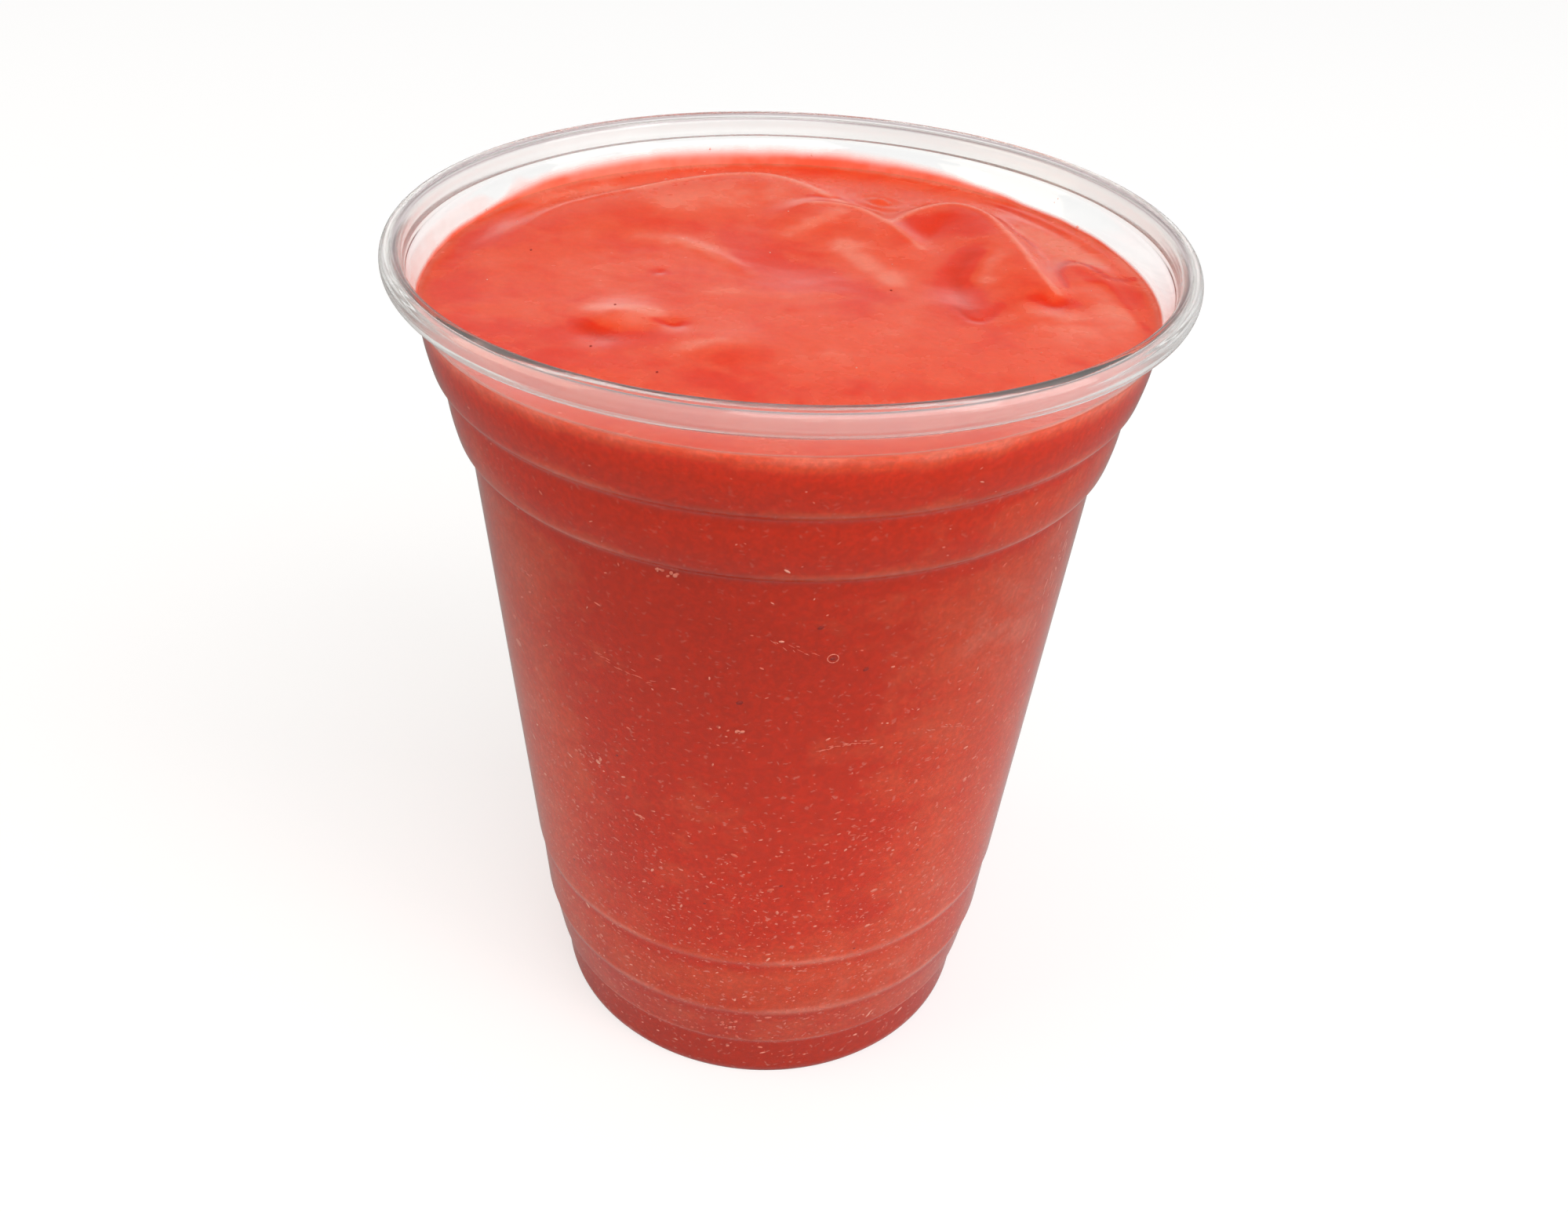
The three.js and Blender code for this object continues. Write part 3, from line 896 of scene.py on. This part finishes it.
# A patch of long pale glints, nearly upright, high at the right
GLINT_COUNT, GLINT_AT, GLINT_TILT = 18, (61, 86), 85
for _ in range(GLINT_COUNT):
    size = rng.uniform(0.6, 2.0)
    flecks.append(fleck(rng.normal(GLINT_AT[0], 3), rng.normal(GLINT_AT[1], 4), size,
                        size * rng.uniform(0.12, 0.24), rng.normal(GLINT_TILT, 14)))
RING_AT, RING_SIZE, RING_STEPS = (10.1, 84), 0.62, 18
for turn in np.linspace(0, 360, RING_STEPS, endpoint=False):
    flecks.append(fleck(RING_AT[0] + RING_SIZE / MM_PER_DEGREE * math.cos(math.radians(turn)),
                        RING_AT[1] + RING_SIZE * math.sin(math.radians(turn)), 0.3, 0.16, turn + 90))
# Two large pale marks at the left, painted glints: bearing, height, length, width, tilt
for bit in [(-58.8, 70.5, 2.0, 1.1, 10), (-58.5, 74.8, 1.4, 0.7, 30)]:
    flecks.append(fleck(*bit))
CLUSTER_TONE = 0.55
tones += list(rng.uniform(0.0, CLUSTER_TONE, len(flecks) - len(tones)))
flecks_and_glints = gather("flecks_and_glints", flecks, tones)

# %% [markdown]
# A few dark seeds lie against the wall and on the surface, and so do bubbles and droplets. They are the
# same small balls, in other sizes and other places.

# %% Seeds
# Bearing, height and size
SEED_SLENDER, SEED_TILT = 0.65, 25
SEEDS = [(-5.3, 76.9, 0.95), (7.6, 88.6, 0.8), (16, 81.9, 0.8), (4, 45, 0.6), (10.1, 84, 0.8),
         (-30, 63, 0.5), (22, 30, 0.5), (-12, 40, 0.5), (34, 47, 0.5), (-48, 36, 0.6)]
seed_balls = [fleck(a, h, size, size * SEED_SLENDER, SEED_TILT) for a, h, size in SEEDS]
TOP_SEEDS = [(-22, -21), (-14, -27), (-33, 6), (12.5, -1), (-20.5, -10)]
TOP_SEED_SIZE = (0.16, 0.24, 0.06)
for at_x, at_y in TOP_SEEDS:
    level = FILL_LEVEL + float(relief(np.array([float(at_x)]), np.array([float(at_y)]))[0])
    seed_balls.append(BALL_POINTS * TOP_SEED_SIZE + (at_x, at_y, level))
fruit_seeds = gather("fruit_seeds", seed_balls)

# %% Small bubbles and droplets on the surface
surface_balls = []
BUBBLE_COUNT, BUBBLES_WITHIN = 16, 43
for _ in range(BUBBLE_COUNT):
    reach, turn = BUBBLES_WITHIN * math.sqrt(rng.uniform(0, 1)), rng.uniform(0, 2 * math.pi)
    at_x, at_y = reach * math.cos(turn), reach * math.sin(turn)
    calm_here = float(eased(WALL_RADIUS - reach, 0, CALM_EDGE))
    level = FILL_LEVEL + calm_here * float(relief(np.array([at_x]), np.array([at_y]))[0])
    size = rng.uniform(0.07, 0.15)
    surface_balls.append(BALL_POINTS * (size, size, size * 0.6) + (at_x, at_y, level))
# Droplets on the inner wall: heading, height, size
DROPLETS = [(-16, 115.1, 0.22), (59, 113.2, 0.3), (-65, 113.4, 0.3), (3, 114.4, 0.25),
            (52.5, 115.4, 0.12), (52, 114.8, 0.1)]
for at_heading, at_height, size in DROPLETS:
    turn = math.radians(at_heading)
    radius_here = np.interp(at_height, inner_wall[:, 1], inner_wall[:, 0])
    place = (radius_here * math.sin(turn), radius_here * math.cos(turn), at_height)
    surface_balls.append(BALL_POINTS * size * 0.7 + place)
droplets = gather("surface_droplets", surface_balls)

# %% [markdown]
# ## Node groups
#
# The drink's top, its side and the film share one look: blended fruit. So the colour is made once, in a
# node group, with the painted strokes, a graininess and a stretch as inputs. A group keeps the recipe
# in one place, and each material stays short.


# %% Node helpers
def new_group(name, inputs, outputs):
    """An empty node group with its inputs and their usual values, and its outputs."""
    group = bpy.data.node_groups.new(name, "ShaderNodeTree")
    for label, kind, value in inputs:
        socket = group.interface.new_socket(label, in_out="INPUT", socket_type=kind)
        socket.default_value = value
    for label, kind in outputs:
        group.interface.new_socket(label, in_out="OUTPUT", socket_type=kind)
    return group


class Tree:
    """A few words for building a node tree: add, join and set."""

    def __init__(self, tree):
        self.tree = tree
        self.step = 0

    def add(self, kind, inputs=None, **settings):
        node = self.tree.nodes.new("ShaderNode" + kind)
        node.location = (self.step * 180, -(self.step % 4) * 160)
        self.step += 1
        for key, value in settings.items():
            setattr(node, key, value)
        for key, value in (inputs or {}).items():
            self.put(node.inputs[key], value)
        return node

    def put(self, socket, value):
        if isinstance(value, bpy.types.NodeSocket):
            self.tree.links.new(value, socket)
        else:
            socket.default_value = value

    def math(self, operation, *values, clamp=False):
        node = self.add("Math", operation=operation, use_clamp=clamp)
        for socket, value in zip(node.inputs, values):
            self.put(socket, value)
        return node.outputs[0]

    def mix(self, factor, a, b):
        node = self.add("Mix", data_type="RGBA")
        self.put(node.inputs["Factor"], factor)
        self.put(node.inputs[6], a)
        self.put(node.inputs[7], b)
        return node.outputs[2]

    def spread(self, value, low, high, to_low=0.0, to_high=1.0):
        """Maps a value from low..high to 0..1, smoothly and clamped."""
        node = self.add("MapRange", interpolation_type="SMOOTHSTEP")
        for key, number in zip(("From Min", "From Max", "To Min", "To Max"), (low, high, to_low, to_high)):
            node.inputs[key].default_value = number
        self.put(node.inputs["Value"], value)
        return node.outputs["Result"]

    def noise(self, vector, scale, detail=3.0, roughness=0.5, distortion=0.0):
        node = self.add("TexNoise", {"Vector": vector, "Scale": scale, "Detail": detail,
                                     "Roughness": roughness, "Distortion": distortion})
        return node.outputs["Fac"]

    def place(self):
        return self.add("TexCoord").outputs["Object"]

    def attribute(self, name):
        return self.add("Attribute", attribute_name=name).outputs["Fac"]


def new_material(name):
    material = bpy.data.materials.new(name)
    material.use_nodes = True
    material.node_tree.nodes.clear()
    return material, Tree(material.node_tree)


def shade(tree, shader):
    tree.add("OutputMaterial", {"Surface": shader})


print("A tree can", ", ".join(word for word in vars(Tree) if not word.startswith("_")))

# %% [markdown]
# ### Blended fruit
#
# Four noises make the fruit. A broad one, strongly distorted, gives marbled swirls, as stirring does.
# Two finer ones break up their edges into wisps and curds. The finest is the pulp's grain. Foam and the
# painted highlights lighten the red towards coral pink; juice and the painted shade deepen it.

# %% The fruit group
fruit = new_group(
    "Blended fruit",
    [("Pale", "NodeSocketFloat", 0.0), ("Deep", "NodeSocketFloat", 0.0),
     ("Graininess", "NodeSocketFloat", 0.3), ("Stretch", "NodeSocketVector", (1, 1, 1))],
    [("Colour", "NodeSocketColor"), ("Swirl", "NodeSocketFloat"), ("Grain", "NodeSocketFloat")],
)
g = Tree(fruit)
fruit_in = fruit.nodes.new("NodeGroupInput")
fruit_out = fruit.nodes.new("NodeGroupOutput")
place = g.place()
stretched = g.add("VectorMath", operation="MULTIPLY")
g.put(stretched.inputs[0], place)
g.put(stretched.inputs[1], fruit_in.outputs["Stretch"])
where = stretched.outputs[0]
swirl = g.noise(where, 45, detail=3, roughness=0.5, distortion=1.0)
wisp = g.noise(where, 150, detail=2.5, roughness=0.5, distortion=0.8)
curd = g.noise(where, 430, detail=2, roughness=0.5)
grain = g.noise(place, 1300, detail=4, roughness=0.7)
# The shares of the three in the marbling
SWIRL_SHARE, WISP_SHARE, CURD_SHARE = 0.45, 0.35, 0.2
blend = g.math("ADD", g.math("MULTIPLY", swirl, SWIRL_SHARE), g.math("MULTIPLY", wisp, WISP_SHARE))
blend = g.math("MULTIPLY_ADD", curd, CURD_SHARE, blend)
marbling = g.spread(blend, 0.35, 0.65)
# How pale the fruit is: the foam there is anyway, what the marbling adds, what the pale strokes and
# painted highlights add, and what the deep strokes and painted shade take
FOAM_BASE, FOAM_MARBLED, FOAM_PALE, FOAM_DEEP = 0.15, 0.38, 0.48, 0.5
foam_and_highlight = g.math("ADD", g.math("MULTIPLY_ADD", marbling, FOAM_MARBLED, FOAM_BASE),
              g.math("MULTIPLY", fruit_in.outputs["Pale"], FOAM_PALE))
foam_and_highlight = g.math("SUBTRACT", foam_and_highlight, g.math("MULTIPLY", fruit_in.outputs["Deep"], FOAM_DEEP), clamp=True)
DEEP_RED = (0.77, 0.030, 0.003, 1)
CORAL = (0.83, 0.078, 0.022, 1)
PINK = (0.88, 0.190, 0.115, 1)
colour = g.mix(g.spread(foam_and_highlight, 0.0, 0.45), DEEP_RED, CORAL)
colour = g.mix(g.spread(foam_and_highlight, 0.4, 0.95), colour, PINK)
speckle = g.math("MULTIPLY_ADD", g.spread(grain, 0.35, 0.7, -0.16, 0.08), fruit_in.outputs["Graininess"], 1.0)
tinted = g.add("Mix", data_type="RGBA", blend_type="MULTIPLY")
tinted.inputs["Factor"].default_value = 1.0
g.put(tinted.inputs[6], colour)
combined = g.add("CombineColor", {"Red": speckle, "Green": speckle, "Blue": speckle})
g.put(tinted.inputs[7], combined.outputs[0])
fruit.links.new(tinted.outputs[2], fruit_out.inputs["Colour"])
fruit.links.new(marbling, fruit_out.inputs["Swirl"])
fruit.links.new(grain, fruit_out.inputs["Grain"])
print("Node group:", fruit.name, "with", len(fruit.nodes), "nodes")

# %% [markdown]
# ## Materials
#
# The drink's top is wet, so it is glossy. A little light goes into the fruit and comes out again beside
# the spot where it went in, which makes it look soft, so both faces have subsurface scattering.

# %% The wet surface
SOFT = {"Subsurface Weight": 0.6, "Subsurface Radius": (1.0, 0.3, 0.2), "Subsurface Scale": 0.002}
WATERY = 1.36


def fruit_nodes(tree, pale, deep, graininess=0.3, stretch=(1, 1, 1)):
    """Puts the fruit group into a material."""
    node = tree.add("Group", node_tree=fruit)
    tree.put(node.inputs["Pale"], pale)
    tree.put(node.inputs["Deep"], deep)
    node.inputs["Graininess"].default_value = graininess
    node.inputs["Stretch"].default_value = stretch
    return node


top_look, t = new_material("wet_fruit")
top_fruit = fruit_nodes(t, t.attribute("pale"), t.attribute("deep"))
top_bump = t.add("Bump", {"Height": top_fruit.outputs["Grain"], "Distance": 0.00004, "Strength": 0.6})
top_rough = t.spread(top_fruit.outputs["Swirl"], 0.0, 1.0, 0.15, 0.3)
# Painted shade on the top, at the wall and in its creases, goes into its colour as a value
top_colour = t.add("HueSaturation", {"Color": top_fruit.outputs["Colour"], "Value": t.attribute("lightness")})
top_shader = t.add("BsdfPrincipled", {
    "Base Color": top_colour.outputs["Color"], "Roughness": top_rough, "IOR": WATERY, **SOFT,
    "Normal": top_bump.outputs["Normal"],
})
shade(t, top_shader.outputs["BSDF"])
print("wet_fruit:", len(t.tree.nodes), "nodes")

# %% [markdown]
# The drink's side lies against the plastic, where no air makes a mirror, so it has no gloss of its own:
# the cup's outer face gives it. It is grainier and deeper than the top. It also holds bubbles too small
# to model. A Voronoi texture cuts space into cells, and a random share of them gets a pale, flattened
# spot, bent out of its round shape by a noise. There are fewer such spots high on the side.

# %% The side at the wall
SIDE_DEEPER, SIDE_GRAIN, SIDE_STRETCH = 0.3, 0.95, (1, 1, 1.4)
# How far the noise moves a spot in metres, how flat it is, and the cells without one
SPOT_BEND, SPOT_FLAT, SPOT_NONE = 0.0022, 1.8, 0.55
SPOT_PINK = (0.88, 0.24, 0.17, 1)
side_look, t = new_material("fruit_at_wall")
side_deep = t.math("ADD", t.attribute("deep"), SIDE_DEEPER)
side_fruit = fruit_nodes(t, t.attribute("pale"), side_deep, SIDE_GRAIN, SIDE_STRETCH)
side_place = t.place()
bent = t.add("TexNoise", {"Vector": side_place, "Scale": 700, "Detail": 2}).outputs["Color"]
spot_place = t.add("VectorMath", {0: bent, 1: (SPOT_BEND,) * 3, 2: side_place}, operation="MULTIPLY_ADD")
flat_place = t.add("VectorMath", {0: spot_place.outputs[0], 1: (1, 1, SPOT_FLAT)}, operation="MULTIPLY")
cells = t.add("TexVoronoi", {"Vector": flat_place.outputs[0], "Scale": 850})
cell_number = t.add("SeparateXYZ", {0: cells.outputs["Color"]}).outputs["X"]
chosen = t.math("GREATER_THAN", cell_number, SPOT_NONE)
spots = t.math("MULTIPLY", chosen, t.spread(cells.outputs["Distance"], 0.34, 0.12))
side_high = t.add("SeparateXYZ", {0: side_place}).outputs["Z"]
spots = t.math("MULTIPLY", spots, t.spread(side_high, 0.1, 0.03, 0.25, 0.9))
spots = t.math("MULTIPLY", spots, t.spread(side_high, 0.112, 0.105))
spotted = t.mix(spots, side_fruit.outputs["Colour"], SPOT_PINK)
# The side's painted light and shade go into its colour as a value
side_with_painted_light = t.add("HueSaturation", {"Color": spotted, "Value": t.attribute("lightness")})
side_shader = t.add("BsdfPrincipled", {
    "Base Color": side_with_painted_light.outputs["Color"], "Roughness": 0.7, "Specular IOR Level": 0.0, **SOFT,
})
shade(t, side_shader.outputs["BSDF"])
print("fruit_at_wall:", len(t.tree.nodes), "nodes")

# %% Top and side on the drink
smoothie.data.materials.append(top_look)
smoothie.data.materials.append(side_look)
side_faces = side_rings * DRINK_SEGMENTS
slots = np.zeros(len(drink_faces), dtype=np.int32)
slots[:side_faces] = 1
smoothie.data.polygons.foreach_set("material_index", slots)
print("Faces of the side:", side_faces, " of the top:", len(drink_faces) - side_faces)

# %% [markdown]
# ### The film, the flecks and the balls
#
# The film's alpha is its cover, made uneven by a noise. Where it is thin it is a paler pink, as any thin
# smear of pulp is. The flecks, seeds and droplets share a plain material that blends two colours.

# %% The film's material
FILM_PINK = (0.97, 0.42, 0.32, 1)
FILM_FOAM, FILM_RAGGED = 1.8, 0.06
film_look, t = new_material("thin_film")
cover = t.attribute("cover")
film_fruit = fruit_nodes(t, t.math("SUBTRACT", FILM_FOAM, cover), 0.0)
ragged = t.noise(t.place(), 200, detail=3, roughness=0.5)
thick = t.spread(ragged, 0.3, 0.7, -FILM_RAGGED, FILM_RAGGED)
uneven = t.math("MULTIPLY", thick, t.spread(cover, 0.0, 0.2))
film_alpha = t.math("ADD", cover, uneven, clamp=True)
film_colour = t.mix(t.spread(cover, 0.1, 0.9), FILM_PINK, film_fruit.outputs["Colour"])
film_shader = t.add("BsdfPrincipled", {
    "Base Color": film_colour, "Roughness": 0.2, "IOR": WATERY, "Alpha": film_alpha,
})
shade(t, film_shader.outputs["BSDF"])
film.data.materials.append(film_look)
print("thin_film:", len(t.tree.nodes), "nodes")


# %% Flecks, seeds and droplets
def two_colours(piece, name, noise_scale, dark, light, finish, toned=False):
    """A material that blends two colours by a noise, or by each ball's own tone and a little noise."""
    material, tree = new_material(name)
    share = tree.noise(tree.place(), noise_scale, detail=2)
    if toned:
        share = tree.math("ADD", tree.attribute("tone"), tree.math("MULTIPLY_ADD", share, 0.4, -0.2))
    shader = tree.add("BsdfPrincipled", {"Base Color": tree.mix(share, dark, light), **finish})
    shade(tree, shader.outputs["BSDF"])
    piece.data.materials.append(material)
    print(name, "is on", piece.name)


# The flecks carry the painted glints too, so the light end of this blend is partly painted highlight
two_colours(flecks_and_glints, "pale_foam_and_glints", 900, (0.72, 0.12, 0.070, 1), (0.87, 0.38, 0.28, 1),
            {"Roughness": 0.5, "Specular IOR Level": 0.0}, toned=True)
two_colours(fruit_seeds, "dark_seed", 2500, (0.20, 0.010, 0.004, 1), (0.38, 0.016, 0.007, 1),
            {"Roughness": 0.6, "Specular IOR Level": 0.1})
two_colours(droplets, "juice_drop", 700, (0.84, 0.30, 0.22, 1), (0.90, 0.55, 0.48, 1), {"Roughness": 0.12})

# %% [markdown]
# ### Clear plastic
#
# The cup is a Principled shader with full transmission. Lamps can't shine through such a surface in
# a path tracer without a great deal of noise, because it bends their light. So for shadow rays and
# for diffuse bounces the sheet lets light straight through, which is nearly what a thin flat sheet does.
# The rolled edge was drawn out as it was bent, so fine streaks run round it, and it is a little hazier.

# %% The cup's material
# The tint of the painted shade, the dark line on the bead, and how far the streaks slant, so that none
# is a full ring
DARK_LINE_TINT = (0.32, 0.22, 0.25, 1)
SLANT = 0.018


def plastic_material(name, tint, rough, transmission, ior, drawn):
    """Clear plastic: its colour, its lowest and highest roughness, how much light goes through, how
    strongly it bends light, and whether it's drawn out in streaks round the cup or only wavy."""
    material, tree = new_material(name)
    plastic_place = tree.place()
    if drawn:
        split = tree.add("SeparateXYZ", {0: plastic_place})
        flat = tree.add("CombineXYZ", {"X": split.outputs["X"], "Y": split.outputs["Y"]})
        outwards = tree.add("VectorMath", {0: flat.outputs[0]}, operation="LENGTH").outputs["Value"]
        drift = tree.math("MULTIPLY", split.outputs["X"], SLANT)
        streaks = tree.add("CombineXYZ", {"X": outwards, "Y": drift, "Z": split.outputs["Z"]}).outputs[0]
        relief_height = tree.noise(streaks, 1300, detail=1, roughness=0.5)
        haze = tree.spread(relief_height, 0.35, 0.65, *rough)
        bump = tree.add("Bump", {"Height": relief_height, "Distance": 0.00032, "Strength": 0.3})
        # Painted shade: the dark line on top of the bead, as a darker tint
        tint = tree.mix(tree.attribute("bend"), tint, DARK_LINE_TINT)
    else:
        relief_height = tree.noise(plastic_place, 60, detail=2, roughness=0.4)
        haze = tree.spread(tree.noise(plastic_place, 300, detail=3), 0.3, 0.8, *rough)
        bump = tree.add("Bump", {"Height": relief_height, "Distance": 0.0002, "Strength": 0.3})
    plastic = tree.add("BsdfPrincipled", {
        "Base Color": tint, "Roughness": haze, "IOR": ior, "Transmission Weight": transmission,
        "Normal": bump.outputs["Normal"],
    })
    clear = tree.add("BsdfTransparent").outputs[0]
    rays = tree.add("LightPath")
    shader = plastic.outputs["BSDF"]
    for kind in ("Is Diffuse Ray", "Is Shadow Ray"):
        shader = tree.add("MixShader", {0: rays.outputs[kind], 1: shader, 2: clear}).outputs[0]
    shade(tree, shader)
    cup.data.materials.append(material)
    print(name + ":", len(tree.tree.nodes), "nodes")


plastic_material("clear_plastic", (0.972, 0.978, 0.976, 1), (0.03, 0.08), 1.0, 1.5, drawn=False)
plastic_material("rolled_edge", (0.95, 0.965, 0.96, 1), (0.07, 0.18), 0.92, 1.36, drawn=True)

# %% [markdown]
# ## The studio
#
# The floor is white and wide. The photograph's background is pure white, so what the camera sees of the
# floor also gives off light. What the cup and the drink get from it is only its own light grey, which
# is darker further out, so that the clear wall shows dark edges against the white.

# %% Floor
FLOOR_RADIUS = 2500
NEAR_GREY, FAR_GREY = 0.5, 0.25
# The camera sees the floor's grey lifted by emission to this much
SEEN_AS = 1.04
floor_points, floor_faces = turned([(0, 0), (300, 0), (FLOOR_RADIUS, 0)], 64)
floor = add_mesh("studio_floor", floor_points, [face[::-1] for face in floor_faces])
floor_look, t = new_material("white_floor")
floor_place = t.place()
floor_noise = t.noise(floor_place, 3)
floor_far = t.add("VectorMath", {0: floor_place}, operation="LENGTH").outputs["Value"]
floor_grey = t.math("ADD", t.spread(floor_far, 0.05, 0.25, NEAR_GREY, FAR_GREY),
                    t.math("MULTIPLY", floor_noise, 0.02))
floor_colour = t.add("CombineColor", {"Red": floor_grey, "Green": floor_grey, "Blue": floor_grey}).outputs[0]
floor_lift = t.math("SUBTRACT", SEEN_AS, floor_grey)
# Seen through the cup it is as white, but only beside and behind it
floor_back = t.add("SeparateXYZ", {0: floor_place}).outputs["Y"]
floor_rays = t.add("LightPath")
seen_through = t.math("MULTIPLY", floor_rays.outputs["Is Transmission Ray"],
                      t.spread(floor_back, -0.1, -0.02, 0.05, 1.0))
seen_white = t.math("MAXIMUM", floor_rays.outputs["Is Camera Ray"], seen_through)
floor_shader = t.add("BsdfPrincipled", {
    "Base Color": floor_colour, "Roughness": 0.9, "Specular IOR Level": 0.0,
    "Emission Color": (1, 1, 1, 1), "Emission Strength": t.math("MULTIPLY", seen_white, floor_lift),
})
shade(t, floor_shader.outputs["BSDF"])
floor.data.materials.append(floor_look)
print("studio_floor:", FLOOR_RADIUS * 2, "mm across")

# %% [markdown]
# The sky is soft, dimmer overhead, and darker at the front, where the room is. Wet fruit and clear
# plastic show what stands around them more sharply than a matt surface does. So rays that were mirrored
# or went through plastic see a second sky: a window low at the back, and a dark room below it. That
# window draws the bright lines on the folds.

# %% Sky
scene = bpy.context.scene
world = bpy.data.worlds.new("soft_sky")
scene.world = world
world.use_nodes = True
world.node_tree.nodes.clear()
w = Tree(world.node_tree)
sky_way = w.add("SeparateXYZ", {0: w.add("TexCoord").outputs["Generated"]})
sky_back, sky_up = sky_way.outputs["Y"], sky_way.outputs["Z"]
sky = w.spread(sky_up, 0.35, 0.75, 0.72, 0.4)
room = w.math("MULTIPLY", w.spread(sky_back, -0.2, -0.7), w.spread(sky_up, 0.5, 0.2))
sky = w.math("MULTIPLY", sky, w.math("MULTIPLY_ADD", room, -0.5, 1.0))
window = w.math("MULTIPLY", w.spread(sky_up, 0.12, 0.2), w.spread(sky_up, 0.34, 0.26))
window = w.math("MULTIPLY", window, w.spread(sky_back, 0.3, 0.8))
WINDOW_STRENGTH = 0.8
mirrored = w.math("MULTIPLY", w.spread(sky_up, 0.3, 0.6, 0.7, 0.18), w.spread(sky_up, 0.02, 0.2, 0.55, 1.0))
mirrored = w.math("MULTIPLY_ADD", window, WINDOW_STRENGTH, mirrored)
sky_rays = w.add("LightPath")
in_mirror = w.math("MAXIMUM", sky_rays.outputs["Is Glossy Ray"], sky_rays.outputs["Is Transmission Ray"])
strength = w.math("MULTIPLY_ADD", w.math("SUBTRACT", mirrored, sky), in_mirror, sky)
sky_colour = w.mix(w.spread(sky_up, 0.0, 0.2), (1, 0.91, 0.91, 1), (1, 0.98, 0.95, 1))
background = w.add("Background", {"Color": sky_colour, "Strength": strength})
w.add("OutputWorld", {"Surface": background.outputs[0]})
print("soft_sky:", len(w.tree.nodes), "nodes")

# %% [markdown]
# Three broad lamps give the cup its form: a soft one in front and above, a fainter one at the right, and
# a warm one at the left. Broad lamps make soft shadows. All of them look at the middle of the cup.

# %% Lamps
AIM = (0, 0, 0.08)


def add_lamp(name, place, size, power, colour=(1, 1, 1)):
    """A rectangular lamp. Its place and size are in metres, its power in watts."""
    data = bpy.data.lights.new(name, "AREA")
    data.shape = "RECTANGLE"
    data.size, data.size_y = size
    data.energy = power
    data.color = colour
    lamp = bpy.data.objects.new(name, data)
    lamp.location = place
    lamp.rotation_euler = (Vector(AIM) - Vector(place)).to_track_quat("-Z", "Y").to_euler()
    scene.collection.objects.link(lamp)
    print(name + ":", power, "W at", place)


add_lamp("soft_front", (0.4, -0.85, 0.95), (1.5, 0.7), 11.5)
add_lamp("soft_right", (1.1, -0.45, 0.65), (0.9, 0.6), 5, colour=(1, 0.95, 0.93))
add_lamp("warm_left", (-1.05, -0.25, 0.6), (0.9, 0.6), 4, colour=(1, 0.85, 0.68))

# %% [markdown]
# ## The camera
#
# The camera stands where the photograph was taken from: 17 cm before the cup's middle, 18 cm up, and
# looking down at it by 36 degrees. Its place came from fitting the round rim, foot and shoulders. It is
# so near that the rim looks much wider than the foot. The shift moves the picture without turning it.

# %% Camera
CAMERA_PLACE = (0, -174.5, 182.7)
SENSOR_WIDTH, LENS = 36, 33.785
SHIFT_X, SHIFT_Y = 0.01326, 0.03677
PITCH, YAW, ROLL = (math.radians(a) for a in (36.37, -0.43, -2.41))
forward = Vector((math.sin(YAW) * math.cos(PITCH), math.cos(YAW) * math.cos(PITCH), -math.sin(PITCH)))
right = Vector((math.cos(YAW), -math.sin(YAW), 0))
down = forward.cross(right)
rolled_right = right * math.cos(ROLL) + down * math.sin(ROLL)
rolled_down = down * math.cos(ROLL) - right * math.sin(ROLL)
camera_data = bpy.data.cameras.new("camera")
camera_data.sensor_width, camera_data.lens = SENSOR_WIDTH, LENS
camera_data.shift_x, camera_data.shift_y = SHIFT_X, SHIFT_Y
camera_data.clip_start = 0.01
camera = bpy.data.objects.new("camera", camera_data)
axes = Matrix((rolled_right, -rolled_down, -forward)).transposed().to_4x4()
camera.matrix_world = Matrix.Translation(Vector(CAMERA_PLACE) * MM) @ axes
scene.collection.objects.link(camera)
scene.camera = camera
print("Camera at", CAMERA_PLACE, "mm, lens", LENS, "mm")

# %% [markdown]
# ## The render's settings
#
# The Standard view keeps white at white and the red as saturated as it is. Light crosses several faces
# of the cup before it reaches the drink, and as many on its way back, so rays may bounce often.

# %% Colour and light paths
scene.view_settings.view_transform = "Standard"
scene.cycles.max_bounces = 16
scene.cycles.transmission_bounces = 14
scene.cycles.transparent_max_bounces = 24
scene.cycles.use_denoising = True
print("Bounces:", scene.cycles.max_bounces, " view:", scene.view_settings.view_transform)

# %% [markdown]
